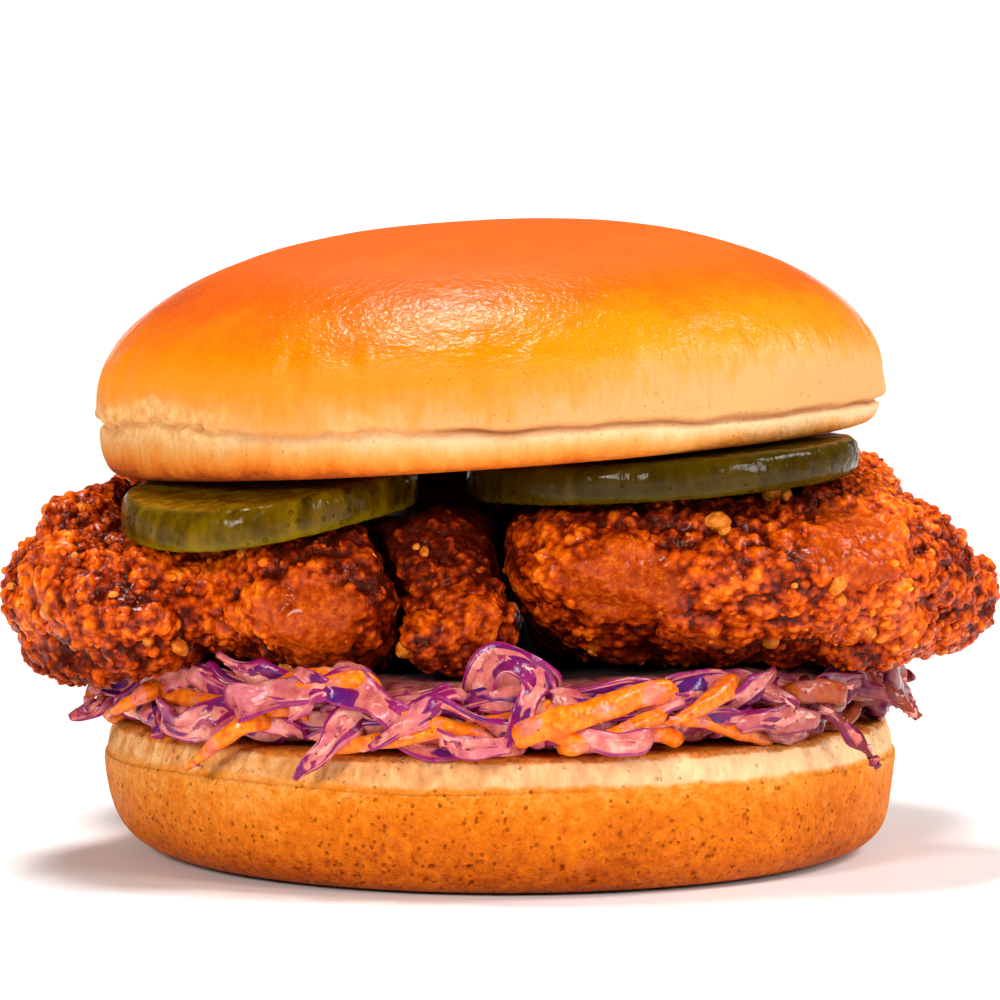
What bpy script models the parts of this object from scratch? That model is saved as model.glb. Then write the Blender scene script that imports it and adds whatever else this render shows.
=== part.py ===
"""Fried chicken burger: a glazed bun cut in two, three pieces of crusted chicken, two pickle slices and a bed of
red cabbage and carrot slaw. Metres, +Z up. The origin is the middle of the heel's flat base, and -Y is the front."""

import math
import random

import bmesh
import bpy
import numpy as np
from mathutils import Matrix, Vector, noise

MM = 0.001
GAP = 0.35 * MM  # left between neighbours that touch

# Bun
BUN_RADIUS = 52.6 * MM
BUN_SEGMENTS = 40
HEEL_HEIGHT = 17.9 * MM  # lower half, base to cut face
HEEL_RADIUS = 53.1 * MM
HEEL_BASE_HALF = (39.6 * MM, 45.0 * MM)  # flat base, half width and half depth
HEEL_BASE_SHIFT = 0.8 * MM  # the base sits this far to the right
CRUMB_BAND = 4.4 * MM  # pale band of crumb below the heel's cut face
CROWN_CENTRE_X = -1.3 * MM
CROWN_UNDERSIDE = HEEL_HEIGHT + 35.7 * MM  # middle of the upper half's cut face
CROWN_HEIGHT = 30.4 * MM
CROWN_WIDEST = 7.5 * MM  # above the cut face
CUT_SLOPE = 0.070  # the crown's cut face rises to the right
DOME_SLOPE = 0.030  # its crust rises less, so the left side is thicker
CROWN_LEAN = 0.022  # the dome shifts this share of its height to the right
CREASE_HEIGHT = 4.9 * MM  # fold between the crust and the crumb below it
CREASE_DEPTH = 0.9 * MM
DOME_POWER = 2.15

# Slaw
SLAW_RADIUS = 49.5 * MM
SLAW_FOOT = HEEL_HEIGHT + GAP
SLAW_TOP = HEEL_HEIGHT + 8.8 * MM
ROOT_RADIUS = 45.0 * MM  # strips start this far out, inside the slaw's core

# The heel's rounded lower edge: share of the way from the base radius out to the full radius, and height in mm
HEEL_EDGE = [(0.0, 0.0), (0.35, 0.3), (0.58, 0.9), (0.76, 2.3), (0.88, 4.5), (0.955, 8.0), (1.0, 12.3)]

# Chicken
CHICKEN_FLOOR = SLAW_TOP + 0.5 * MM
CHICKEN_SPACING = 1.1 * MM
LOBE_BLEND = 3.0 * MM
CRAG_SIZE = 7.4 * MM
CRAG_HEIGHT = 4.2 * MM
CRAG_START = 30.0 * MM  # distance from the axis where the crust begins to be craggy, full at CRAG_FULL
CRAG_FULL = 42.0 * MM
SHALLOW_SWELL = 0.8 * MM

CRUST_GOLD = (0.55, 0.17, 0.02, 1)
HEEL_GOLD = (0.60, 0.24, 0.05, 1)
FRIED_BROWN = (0.36, 0.075, 0.010, 1)
PICKLE_GREEN = (0.13, 0.14, 0.012, 1)
SLAW_PINK = (0.62, 0.22, 0.26, 1)

# Each pickle: centre x and y, half width and half depth, thickness, how far the front droops, heading of the droop
PICKLES = {
    "pickle_left": dict(centre=(-29.8, -24.4), half=(19.2, 21.2), thick=5.4, droop=2.3, heading=-118),
    "pickle_right": dict(centre=(21.1, -22.0), half=(25.4, 24.0), thick=5.2, droop=0.3, heading=-90),
}

# Each lobe: centre and half sizes in mm, turn about Z and how far its right end leans down, in degrees. Heights are
# above the heel's cut face.
CHICKEN = {
    "chicken_left": dict(
        middle=(-36, -3, 18.5),
        triangles=2150,
        lobes=[
            ((-45.6, -14.0, 17.6), (18.6, 27.0, 12.2), -8, 0),
            ((-50.6, -14.0, 24.6), (9.6, 17.0, 7.8), 0, 0),
            ((-52.6, -14.0, 12.2), (9.3, 18.0, 6.6), 0, 0),
            ((-24.0, -29.0, 18.4), (13.8, 18.0, 10.6), 12, 8),
            ((-34.0, 26.0, 21.0), (24.0, 28.0, 13.4), 24, 0),
            ((-19.0, -12.0, 13.4), (11.0, 26.0, 6.0), 0, 0),
        ],
    ),
    "chicken_middle": dict(
        middle=(-7, -8, 20.5),
        triangles=1100,
        lobes=[
            ((-9.5, -20.0, 20.6), (13.2, 20.0, 10.4), 0, 0),
            ((-3.3, -38.0, 15.8), (6.9, 8.4, 6.6), 15, 10),
            ((-11.5, -42.7, 12.8), (5.0, 6.0, 4.8), -10, 0),
            ((-4.0, 22.0, 22.4), (13.0, 33.0, 14.6), 0, 0),
            ((-5.0, -6.0, 14.4), (10.0, 26.0, 7.0), 0, 0),
        ],
    ),
    "chicken_right": dict(
        middle=(31, -3, 18.5),
        triangles=2200,
        lobes=[
            ((29.0, -17.0, 21.8), (32.4, 29.0, 12.6), 8, 0),
            ((14.0, -30.0, 23.0), (14.5, 15.5, 10.0), 0, -6),
            ((43.0, -12.0, 15.8), (16.4, 22.0, 9.4), 10, 0),
            ((56.4, -10.0, 16.4), (9.0, 13.0, 6.4), 0, 5),
            ((31.0, 26.0, 23.4), (26.0, 28.0, 14.8), -20, 0),
            ((16.0, -10.0, 14.4), (15.0, 26.0, 7.4), 0, 0),
        ],
    ),
}
CHICKEN_REACH = 76.0 * MM

# Each strip that shows at the front: kind, whether both ends are tucked in, width in mm, lean in degrees, and
# points as heading from the front in degrees (to the right positive), then distance from the axis and height
# above the heel's cut face in mm
FRONT_STRIPS = [
    ("cabbage", False, 4.2, 20, [(-74, 50, 4.2), (-73, 55, 2.7), (-75, 58.5, 0.7)]),
    ("cabbage", False, 3.0, -20, [(-63, 51, 6.2), (-69, 54, 5.2), (-74, 56, 4.7)]),
    ("carrot", False, 2.4, 0, [(-56, 53, 6.2), (-57, 56, 4.7), (-62, 57, 2.7)]),
    ("cabbage", False, 3.2, 30, [(-61, 52, 4.2), (-54, 54.5, 2.2), (-52, 55.5, 0.2)]),
    ("cabbage", True, 4.4, 10, [(-40, 52, 5.2), (-45, 56, 2.2), (-51, 55, 3.7)]),
    ("carrot", False, 2.6, 0, [(-35, 54, 3.7), (-39, 56, 1.2), (-44, 57, -2.8)]),
    ("cabbage", False, 4.6, 25, [(-32, 50, 8.2), (-37, 52, 9.2), (-42, 53.5, 11.7)]),
    ("cabbage", True, 4.8, -15, [(-29, 52, 7.2), (-32, 54, 6.7), (-37, 55, 5.7)]),
    ("cabbage", False, 4.4, 15, [(-20, 52, 5.2), (-23, 55.5, 1.2), (-27, 56.5, -2.8)]),
    ("cabbage", False, 3.4, -25, [(-22, 51, 10.7), (-26, 53.5, 8.2), (-29, 55, 3.7)]),
    ("cabbage", True, 4.6, 20, [(-24, 50, 9.2), (-18, 53, 7.2), (-13, 54, 4.7)]),
    ("cabbage", False, 4.0, -10, [(-8, 52, 7.2), (-12, 54.5, 4.7), (-17, 55.5, 1.2)]),
    ("cabbage", True, 3.4, 35, [(-2, 50, 9.7), (1, 52, 13.2), (6, 51, 9.7)]),
    ("cabbage", False, 4.2, 0, [(5, 51, 9.2), (3, 54, 5.7), (1, 55, 1.7)]),
    ("carrot", True, 3.6, 0, [(23, 52, 7.7), (13, 54, 6.2), (3, 55, 3.2)]),
    ("carrot", False, 2.8, 0, [(34, 52, 8.2), (28, 54.5, 6.2), (22, 55.5, 4.2)]),
    ("cabbage", True, 3.6, 0, [(35, 53.5, 3.5), (41, 54.8, 3.5), (47, 55, 3.0)]),
    ("cabbage", False, 2.6, 10, [(50, 53.5, 4.2), (53, 56.5, 0.7), (57, 58, -3.8)]),
    ("carrot", False, 2.6, 0, [(69, 51, 5.2), (69, 55, 4.2), (71, 58, 1.2)]),
    ("carrot", True, 3.2, 0, [(45, 52, 6.5), (49, 54, 6.5), (53, 54.5, 5.7)]),
    ("cabbage", False, 3.0, -20, [(59, 51, 7.2), (63, 54, 5.7), (66, 56.5, 3.2)]),
    ("cabbage", True, 3.2, 15, [(10, 53, 3.1), (15, 55.2, 1.9), (20, 54.3, 2.3)]),
    ("cabbage", True, 2.8, -15, [(-8, 53.5, 2.7), (-4, 55.2, 1.7), (1, 54.5, 2.1)]),
]
SIDE_STRIPS = 26  # strips by rule round the sides and back
SIDE_HEADINGS = (84, 276)
STRIP_SEED = 11
CABBAGE_THICKNESS = 1.3 * MM
CARROT_THICKNESS = 2.2 * MM


def material(name, colour, roughness):
    made = bpy.data.materials.new(name)
    made.use_nodes = True
    shader = made.node_tree.nodes["Principled BSDF"]
    shader.inputs["Base Color"].default_value = colour
    shader.inputs["Roughness"].default_value = roughness
    shader.inputs["Metallic"].default_value = 0.0
    return made


def add_object(name, bm, finish):
    mesh = bpy.data.meshes.new(name)
    bm.to_mesh(mesh)
    bm.free()
    mesh.shade_smooth()
    made = bpy.data.objects.new(name, mesh)
    bpy.context.scene.collection.objects.link(made)
    if finish:
        mesh.materials.append(finish)
    return made


def ring_solid(rings):
    """A closed skin through rings of points, from the bottom up. The first and last rings are single points."""
    bm = bmesh.new()
    rows = [[bm.verts.new(point) for point in ring] for ring in rings]
    count = max(len(row) for row in rows)
    for lower, upper in zip(rows, rows[1:]):
        for i in range(count):
            corners = [lower[i % len(lower)], lower[(i + 1) % len(lower)]]
            corners += [upper[(i + 1) % len(upper)], upper[i % len(upper)]]
            bm.faces.new(list(dict.fromkeys(corners)))
    return bm


def smooth_step(low, high, value):
    share = np.clip((value - low) / (high - low), 0.0, 1.0)
    return share * share * (3 - 2 * share)


def wander(angle, lobes, shift):
    """Slow variation from -1 to 1 round a circle."""
    where = Vector((math.cos(angle) * lobes, math.sin(angle) * lobes, shift))
    return noise.noise(where)


# Bun


def crown_underside(x):
    return CROWN_UNDERSIDE + (x - CROWN_CENTRE_X) * CUT_SLOPE


def crown_profile(angle):
    """Points (radius, share of the height up to the crease, height above it) from the cut face to the crown's top."""
    sway = wander(angle, 1.6, 3.1)
    radius = BUN_RADIUS + 0.5 * MM * wander(angle, 1.1, 0.4)
    low = [(18 * MM, 0.0, 0), (36 * MM, 0.0, 0), (radius - 3.6 * MM, 0.0, 0), (radius - 1.9 * MM, 0.10, 0)]
    low += [(radius - 1.2 * MM, 0.34, 0), (radius - 0.8 * MM, 0.78, 0), (radius - CREASE_DEPTH - 0.9 * MM, 1.0, 0)]
    low += [(radius - 0.6 * MM, 1.0, 0.5 * MM + 0.2 * MM * sway), (radius - 0.15 * MM, 1.0, 1.5 * MM)]
    top = []
    climb = CROWN_HEIGHT - CROWN_WIDEST
    for i in range(11):
        turn = math.radians(2 + 80 * (i / 10) ** 0.9)
        top_radius = radius * math.cos(turn) ** (2 / DOME_POWER)
        top.append((top_radius, 1.0, CROWN_WIDEST - CREASE_HEIGHT + climb * math.sin(turn) ** (2 / DOME_POWER)))
    return low + top


def crown_point(radius, angle, share, above):
    x = CROWN_CENTRE_X + radius * math.cos(angle) + CROWN_LEAN * above
    y = radius * math.sin(angle)
    under = crown_underside(x)
    sway = 0.7 * MM * wander(angle, 2.3, 7.7)
    crease = CROWN_UNDERSIDE + CREASE_HEIGHT + (x - CROWN_CENTRE_X) * DOME_SLOPE + sway
    return (x, y, under + (crease - under) * share + above - sway * min(above / (8 * MM), 1.0))


def make_crown(finish):
    angles = [2 * math.pi * i / BUN_SEGMENTS for i in range(BUN_SEGMENTS)]
    profiles = [crown_profile(angle) for angle in angles]
    rings = [[crown_point(0, 0, 0, 0)]]
    for level in range(len(profiles[0])):
        rings.append([crown_point(p[level][0], a, p[level][1], p[level][2]) for p, a in zip(profiles, angles)])
    rings.append([crown_point(0, 0, 1, CROWN_HEIGHT - CREASE_HEIGHT)])
    return add_object("bun_crown", ring_solid(rings), finish)


def heel_profile(angle):
    """Points (radius, height) from the base to the cut face."""
    radius = HEEL_RADIUS + 0.3 * MM * wander(angle, 1.3, 5.2)
    line = HEEL_HEIGHT - CRUMB_BAND + 0.6 * MM * wander(angle, 2.1, 1.9)
    base = math.hypot(HEEL_BASE_HALF[0] * math.cos(angle), HEEL_BASE_HALF[1] * math.sin(angle))
    points = [(20 * MM, 0.0), (base - 5 * MM, 0.0)]
    points += [(base + (radius - base) * share, z * MM) for share, z in HEEL_EDGE]
    points += [(radius, line - 0.3 * MM), (radius - 0.5 * MM, line + 0.2 * MM)]
    points += [(radius - 1.0 * MM, HEEL_HEIGHT - 1.3 * MM), (radius - 1.7 * MM, HEEL_HEIGHT - 0.2 * MM)]
    points += [(radius - 3.2 * MM, HEEL_HEIGHT), (26 * MM, HEEL_HEIGHT)]
    return points


def make_heel(finish):
    angles = [2 * math.pi * i / BUN_SEGMENTS for i in range(BUN_SEGMENTS)]
    profiles = [heel_profile(angle) for angle in angles]
    rings = [[(0, 0, 0)]]
    for level in range(len(profiles[0])):
        height = profiles[0][level][1]
        shift = HEEL_BASE_SHIFT * (1 - smooth_step(0, HEEL_HEIGHT / 2, height))
        rings.append([(shift + p[level][0] * math.cos(a), p[level][0] * math.sin(a), p[level][1])
                      for p, a in zip(profiles, angles)])
    rings.append([(0, 0, HEEL_HEIGHT)])
    return add_object("bun_heel", ring_solid(rings), finish)


# Pickles


def pickle_top(spec, x, y):
    """Height of a pickle's upper face: flat against the crown, drooping towards the slice's free edge."""
    cx, cy = (value * MM for value in spec["centre"])
    heading = math.radians(spec["heading"])
    along = (x - cx) * math.cos(heading) + (y - cy) * math.sin(heading)
    share = np.clip(along / (spec["half"][1] * MM) + 0.15, 0, None)
    return crown_underside(x) - GAP - spec["droop"] * MM * share**2


def make_pickle(name, spec, finish):
    cx, cy = (value * MM for value in spec["centre"])
    half_x, half_y = (value * MM for value in spec["half"])
    thick = spec["thick"] * MM
    section = [(0.50, -0.5), (0.86, -0.5), (0.955, -0.44), (1.0, -0.2), (1.0, 0.2), (0.955, 0.44), (0.86, 0.5)]
    section.append((0.50, 0.5))
    segments = 26

    def point(share, level, angle):
        wobble = 1 + 0.012 * wander(angle, 1.5, cx * 900)
        x = cx + half_x * share * wobble * math.cos(angle)
        y = cy + half_y * share * wobble * math.sin(angle)
        return (x, y, pickle_top(spec, x, y) + (level - 0.5) * thick)

    angles = [2 * math.pi * i / segments for i in range(segments)]
    rings = [[point(0, -0.5, 0)]]
    rings += [[point(share, level, angle) for angle in angles] for share, level in section]
    rings.append([point(0, 0.5, 0)])
    return add_object(name, ring_solid(rings), finish)


# Chicken


def on_heel(place):
    """A place in mm, with its height above the heel's cut face."""
    return np.array(place) * MM + np.array((0, 0, HEEL_HEIGHT))


def lobe_distance(points, lobe):
    """About how far points lie outside an ellipsoid."""
    centre, half, turn, lean = lobe
    axes = Matrix.Rotation(math.radians(turn), 3, "Z") @ Matrix.Rotation(math.radians(lean), 3, "Y")
    local = (points - on_heel(centre)) @ np.array(axes)
    half = np.array(half) * MM
    near = np.linalg.norm(local / half, axis=-1)
    steep = np.maximum(np.linalg.norm(local / half**2, axis=-1), 1e-9)
    return near * (near - 1) / steep


def piece_distance(points, lobes):
    """The lobes of one piece of chicken, run smoothly into each other."""
    total = lobe_distance(points, lobes[0])
    for lobe in lobes[1:]:
        other = lobe_distance(points, lobe)
        share = np.clip(0.5 + 0.5 * (other - total) / LOBE_BLEND, 0, 1)
        total = other + (total - other) * share - LOBE_BLEND * share * (1 - share)
    return total


def headroom(points):
    """Highest the chicken may reach: under the crown, and lower where a pickle lies between."""
    x, y = points[..., 0], points[..., 1]
    outside = smooth_step(54.0 * MM, 55.2 * MM, np.hypot(x - CROWN_CENTRE_X, y))
    free = crown_underside(x) - 0.8 * MM + 5.0 * MM * outside
    for spec in PICKLES.values():
        cx, cy = (value * MM for value in spec["centre"])
        across = (x - cx) / (spec["half"][0] * MM)
        along = (y - cy) / (spec["half"][1] * MM)
        spread = np.sqrt(across**2 + along**2)
        under = pickle_top(spec, x, y) - (spec["thick"] + 0.9) * MM
        free = free + (under - free) * (1 - smooth_step(1.07, 1.22, spread))
    return free


def floor_height(points):
    """Lowest the chicken may reach: on the slaw, and free to hang lower outside the bun."""
    distance = np.linalg.norm(points[..., :2], axis=-1)
    return CHICKEN_FLOOR - 4.0 * MM * smooth_step(52 * MM, 57 * MM, distance)


def room_field(points, name):
    """Negative where the piece may be: clear of its neighbours, the crown, the pickles and the slaw."""
    own = piece_distance(points, CHICKEN[name]["lobes"])
    others = [piece_distance(points, spec["lobes"]) for other, spec in CHICKEN.items() if other != name]
    apart = 0.5 * (own - np.min(others, axis=0)) + 0.5 * CHICKEN_SPACING
    above = points[..., 2] - headroom(points)
    below = floor_height(points) - points[..., 2]
    return np.max([apart, above, below], axis=0)


def first_crossing(field, origin, directions):
    """How far from the origin, along each direction, the field first turns positive."""
    reach = np.linspace(0, CHICKEN_REACH, 305)
    points = origin + directions[:, None, :] * reach[None, :, None]
    values = field(points)
    outside = values > 0
    outside[:, -1] = True
    after = np.maximum(np.argmax(outside, axis=1), 1)
    rows = np.arange(len(directions))
    inner, outer = values[rows, after - 1], values[rows, after]
    share = np.clip(-inner / np.maximum(outer - inner, 1e-12), 0, 1)
    return reach[after - 1] + share * (reach[1] - reach[0])


def crag(point):
    """Height of the fried crust's nubs and swells above the meat."""
    place = Vector(point)
    nearest = noise.voronoi(place / CRAG_SIZE)[0][0]
    relief = CRAG_HEIGHT * (0.5 - nearest) + SHALLOW_SWELL * noise.noise(place / (9 * MM))
    return relief * smooth_step(CRAG_START, CRAG_FULL, math.hypot(place.x, place.y))


def make_chicken(name, finish):
    spec = CHICKEN[name]
    bm = bmesh.new()
    bmesh.ops.create_icosphere(bm, subdivisions=5, radius=1.0)
    directions = np.array([(v.co.x, v.co.y, v.co.z * 0.45) for v in bm.verts])
    directions /= np.linalg.norm(directions, axis=1, keepdims=True)
    origin = on_heel(spec["middle"])
    meat = first_crossing(lambda points: piece_distance(points, spec["lobes"]), origin, directions)
    room = first_crossing(lambda points: room_field(points, name), origin, directions)
    skin = origin + directions * meat[:, None]
    crusted = meat + np.array([crag(point) for point in skin])
    final = origin + directions * np.minimum(crusted, room)[:, None]
    for vertex, place in zip(bm.verts, final):
        vertex.co = place
    made = add_object(name, bm, finish)
    thin = made.modifiers.new("fewer faces", "DECIMATE")
    thin.ratio = spec["triangles"] / len(made.data.polygons)
    return made


# Slaw


def on_burger(heading, distance, height):
    """A point given by its heading from the front, distance from the axis and height above the heel, degrees and mm."""
    angle = math.radians(heading)
    return Vector((distance * math.sin(angle), -distance * math.cos(angle), height + HEEL_HEIGHT / MM)) * MM


def strip_route(points, tucked):
    """The strip's own points, with a root inside the slaw's core, or one at each end where both are tucked in."""
    def root(point):
        heading, _, height = point
        return on_burger(heading, ROOT_RADIUS / MM, min(max(height, 3.2), 6.7))

    route = [root(points[0])] + [on_burger(*point) for point in points]
    return route + [root(points[-1])] if tucked else route


def curve_through(route, steps):
    """Points on a smooth curve through the route, with a few steps between each two."""
    padded = [2 * route[0] - route[1]] + route + [2 * route[-1] - route[-2]]
    points = []
    for before, start, end, after in zip(padded, padded[1:], padded[2:], padded[3:]):
        for i in range(steps):
            t = i / steps
            points.append(0.5 * (2 * start + (end - before) * t + (2 * before - 5 * start + 4 * end - after) * t**2
                                 + (3 * start - before - 3 * end + after) * t**3))
    return points + [route[-1]]


def keep_clear(place):
    """Moves a corner of a strip off the heel and the chicken."""
    distance = math.hypot(place.x, place.y)
    outward = Vector((place.x, place.y, 0)) / distance
    lowest = SLAW_FOOT + 0.2 * MM
    if place.z < lowest and distance < BUN_RADIUS + 1.0 * MM:
        if distance < 51.5 * MM:
            place.z = lowest
        else:
            place += outward * (BUN_RADIUS + 1.0 * MM - distance)
    for _ in range(4):
        near = min(float(piece_distance(np.array(place), spec["lobes"])) for spec in CHICKEN.values())
        short = 2.0 * MM - near
        if short <= 0 or place.z < CHICKEN_FLOOR - 0.9 * MM:
            break
        place += outward * short * 0.7 - Vector((0, 0, short * 0.4))
    return place


def make_strip(name, kind, tucked, width, lean, points):
    """A closed ribbon with a flat section, narrower towards its free end."""
    route = curve_through(strip_route(points, tucked), 2)
    thick = CARROT_THICKNESS if kind == "carrot" else CABBAGE_THICKNESS
    bm = bmesh.new()
    rows = []
    for i, place in enumerate(route):
        along = (route[min(i + 1, len(route) - 1)] - route[max(i - 1, 0)]).normalized()
        outward = Vector((place.x, place.y, 0)).normalized()
        outward = (outward - along * outward.dot(along)).normalized()
        upright = along.cross(outward)
        angle = math.radians(lean)
        broad = upright * math.cos(angle) + outward * math.sin(angle)
        thin = outward * math.cos(angle) - upright * math.sin(angle)
        share = i / (len(route) - 1)
        size = 0.9 if tucked else 1.0 - 0.72 * max(share - 0.45, 0) / 0.55
        half = broad * (width * MM * size / 2)
        depth = thin * (thick * (0.6 + 0.4 * size) / 2)
        corners = [place - half - depth, place + half - depth, place + half + depth, place - half + depth]
        rows.append([bm.verts.new(keep_clear(corner)) for corner in corners])
    for first, second in zip(rows, rows[1:]):
        for a in range(4):
            b = (a + 1) % 4
            bm.faces.new((first[a], first[b], second[b], second[a]))
    bm.faces.new(rows[0][::-1])
    bm.faces.new(rows[-1])
    bmesh.ops.recalc_face_normals(bm, faces=bm.faces)
    return add_object(name, bm, None)


def side_strips():
    """Strips round the sides and back, at even headings with their sizes drawn at random."""
    draw = random.Random(STRIP_SEED)
    strips = []
    for i in range(SIDE_STRIPS):
        heading = SIDE_HEADINGS[0] + (SIDE_HEADINGS[1] - SIDE_HEADINGS[0]) * (i + 0.5) / SIDE_STRIPS
        heading += draw.uniform(-2, 2)
        turn = draw.choice((-1, 1)) * draw.uniform(2, 8)
        kind = "carrot" if i % 4 == 1 else "cabbage"
        width = draw.uniform(2.2, 2.9) if kind == "carrot" else draw.uniform(3.2, 4.6)
        high = draw.uniform(4.2, 7.6)
        drop = draw.uniform(0.5, 6.5)
        end = draw.uniform(54.8, 57.2)
        points = [(heading, 51.5, high), (heading + turn * 0.6, 54.4, high - 0.35 * drop)]
        points.append((heading + turn, end, high - drop))
        strips.append((kind, False, width, draw.uniform(-35, 35), points))
    return strips


def slaw_core():
    """The packed bed of slaw, with an uneven edge."""
    section = [(38, 0.0), (46.5, 0.0), (49.3, 0.16), (50.6, 0.42), (50.0, 0.72), (47.5, 0.93), (42, 1.0), (24, 1.0)]
    segments = 34
    height = SLAW_TOP - SLAW_FOOT
    rings = [[(0, 0, SLAW_FOOT)]]
    for radius, level in section:
        ring = []
        for i in range(segments):
            angle = 2 * math.pi * i / segments
            edge = smooth_step(38, 50, radius)
            reach = (radius * SLAW_RADIUS / 50) + 1.5 * MM * edge * wander(angle, 3.1, 2 + level)
            lift = height * level - 0.7 * MM * level * abs(wander(angle, 2.7, 9.1 + radius / 9))
            ring.append((reach * math.cos(angle), reach * math.sin(angle), SLAW_FOOT + lift))
        rings.append(ring)
    rings.append([(0, 0, SLAW_TOP - 0.3 * MM)])
    return ring_solid(rings)


def keep_largest(mesh):
    """Drops the loose scraps and sealed hollows that a union leaves."""
    bm = bmesh.new()
    bm.from_mesh(mesh)
    left = set(bm.verts)
    shells = []
    while left:
        shell, edge = set(), [next(iter(left))]
        while edge:
            vertex = edge.pop()
            if vertex in shell:
                continue
            shell.add(vertex)
            edge += [link.other_vert(vertex) for link in vertex.link_edges]
        left -= shell
        shells.append(shell)
    keep = max(shells, key=len)
    bmesh.ops.delete(bm, geom=[v for v in bm.verts if v not in keep], context="VERTS")
    bm.to_mesh(mesh)
    bm.free()


def make_slaw(finish):
    core = add_object("slaw", slaw_core(), finish)
    strips = bpy.data.collections.new("strips")
    bpy.context.scene.collection.children.link(strips)
    for i, strip in enumerate(FRONT_STRIPS + side_strips()):
        made = make_strip(f"strip_{i}", *strip)
        strips.objects.link(made)
        bpy.context.scene.collection.objects.unlink(made)
    join = core.modifiers.new("join", "BOOLEAN")
    join.operation = "UNION"
    join.operand_type = "COLLECTION"
    join.collection = strips
    join.solver = "MANIFOLD"
    bpy.context.view_layer.update()
    joined = bpy.data.meshes.new_from_object(core.evaluated_get(bpy.context.evaluated_depsgraph_get()))
    core.modifiers.clear()
    core.data = joined
    for strip in list(strips.objects):
        bpy.data.objects.remove(strip)
    bpy.data.collections.remove(strips)
    keep_largest(joined)
    return core


def main():
    for old in list(bpy.data.objects):
        bpy.data.objects.remove(old)
    make_heel(material("toasted heel", HEEL_GOLD, 0.6))
    make_crown(material("glazed crust", CRUST_GOLD, 0.28))
    pickle_finish = material("pickle", PICKLE_GREEN, 0.25)
    for name, spec in PICKLES.items():
        make_pickle(name, spec, pickle_finish)
    fried = material("fried crust", FRIED_BROWN, 0.3)
    for name in CHICKEN:
        make_chicken(name, fried)
    make_slaw(material("dressed slaw", SLAW_PINK, 0.3))


main()
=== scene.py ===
# Fried chicken burger: fine surfaces, crumbs, shreds and finishes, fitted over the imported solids
import itertools
import math
import random

import bmesh
import bpy
import numpy as np
from mathutils import Matrix, Vector, noise
from mathutils.bvhtree import BVHTree


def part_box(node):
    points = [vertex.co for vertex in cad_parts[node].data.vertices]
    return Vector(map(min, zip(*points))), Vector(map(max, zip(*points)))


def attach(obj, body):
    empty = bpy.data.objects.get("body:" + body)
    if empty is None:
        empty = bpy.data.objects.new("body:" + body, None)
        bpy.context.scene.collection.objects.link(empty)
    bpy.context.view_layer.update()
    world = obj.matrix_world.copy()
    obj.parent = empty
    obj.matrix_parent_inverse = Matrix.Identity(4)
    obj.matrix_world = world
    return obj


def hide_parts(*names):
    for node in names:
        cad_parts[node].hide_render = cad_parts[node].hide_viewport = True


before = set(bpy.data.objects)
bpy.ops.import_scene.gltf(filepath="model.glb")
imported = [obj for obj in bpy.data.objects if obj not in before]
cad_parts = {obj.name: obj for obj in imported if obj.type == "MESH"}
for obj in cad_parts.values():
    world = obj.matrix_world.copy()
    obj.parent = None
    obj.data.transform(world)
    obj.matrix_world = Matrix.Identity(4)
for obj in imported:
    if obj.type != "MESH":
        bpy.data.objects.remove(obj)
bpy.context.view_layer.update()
mm = 0.001
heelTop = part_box("bun_heel")[1][2]  # the cut face that everything above is measured from


# Number fields, used for relief and for colour masks

def cellNumber(cells, seed):  # a repeatable number from 0 to 1 for each whole-number cell
    mixed = cells[..., 0] * 73856093 ^ cells[..., 1] * 19349663 ^ cells[..., 2] * 83492791 ^ seed * 2971215073
    mixed = ((mixed ^ (mixed >> 15)) & 0xFFFFFFFF) * 1103515245 & 0xFFFFFFFF
    mixed = ((mixed ^ (mixed >> 13)) & 0xFFFFFFFF) * 1664525 & 0xFFFFFFFF
    return ((mixed ^ (mixed >> 16)) & 0xFFFFFF) / 0xFFFFFF


# a turn that keeps the cells of the noise out of line with the burger
askew = np.array(Matrix.Rotation(0.85, 3, (0.42, 0.55, 0.72)))


def drift(points, size, seed, octaves=1):  # slow variation through space, about -1 to 1
    total, weight = 0.0, 0.0
    points = points @ askew
    for octave in range(octaves):
        scaled = points / (size * mm / 2**octave)
        base = np.floor(scaled).astype(np.int64)
        ease = scaled - base
        ease = ease * ease * (3 - 2 * ease)
        value = 0.0
        for corner in itertools.product((0, 1), repeat=3):
            corner = np.array(corner)
            share = np.prod(np.where(corner, ease, 1 - ease), axis=-1)
            value = value + share * cellNumber(base + corner, seed + octave)
        total = total + (2 * value - 1) * 0.5**octave
        weight += 0.5**octave
    return total / weight


def pebbles(points, size, seed, jitter=0.9):  # nearest scattered centre: distance, gap to the next, number
    scaled = points / (size * mm)
    base = np.floor(scaled).astype(np.int64)
    nearest = np.full(points.shape[:-1], 9.0)
    second, number = nearest.copy(), np.zeros_like(nearest)
    for offset in itertools.product((-1, 0, 1), repeat=3):
        cell = base + np.array(offset)
        shift = np.stack([cellNumber(cell, seed + k) for k in (11, 12, 13)], axis=-1)
        distance = np.linalg.norm(scaled - (cell + 0.5 + jitter * (shift - 0.5)), axis=-1)
        closer = distance < nearest
        second = np.where(closer, nearest, np.minimum(second, distance))
        number = np.where(closer, cellNumber(cell, seed + 17), number)
        nearest = np.where(closer, distance, nearest)
    return nearest, second - nearest, number


def ramped(value, low, high):  # 0 below low and 1 above high, eased between
    share = np.clip((value - low) / (high - low), 0, 1)
    return share * share * (3 - 2 * share)


def domes(near, reach):  # rounded tops over scattered centres
    return np.sqrt(np.clip(1 - (near / reach) ** 2, 0, 1))


def wanders(angles, lobes, shift):  # slow variation round a circle, as the solids have it
    return np.array([noise.noise(Vector((math.cos(a) * lobes, math.sin(a) * lobes, shift))) for a in angles])


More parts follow.
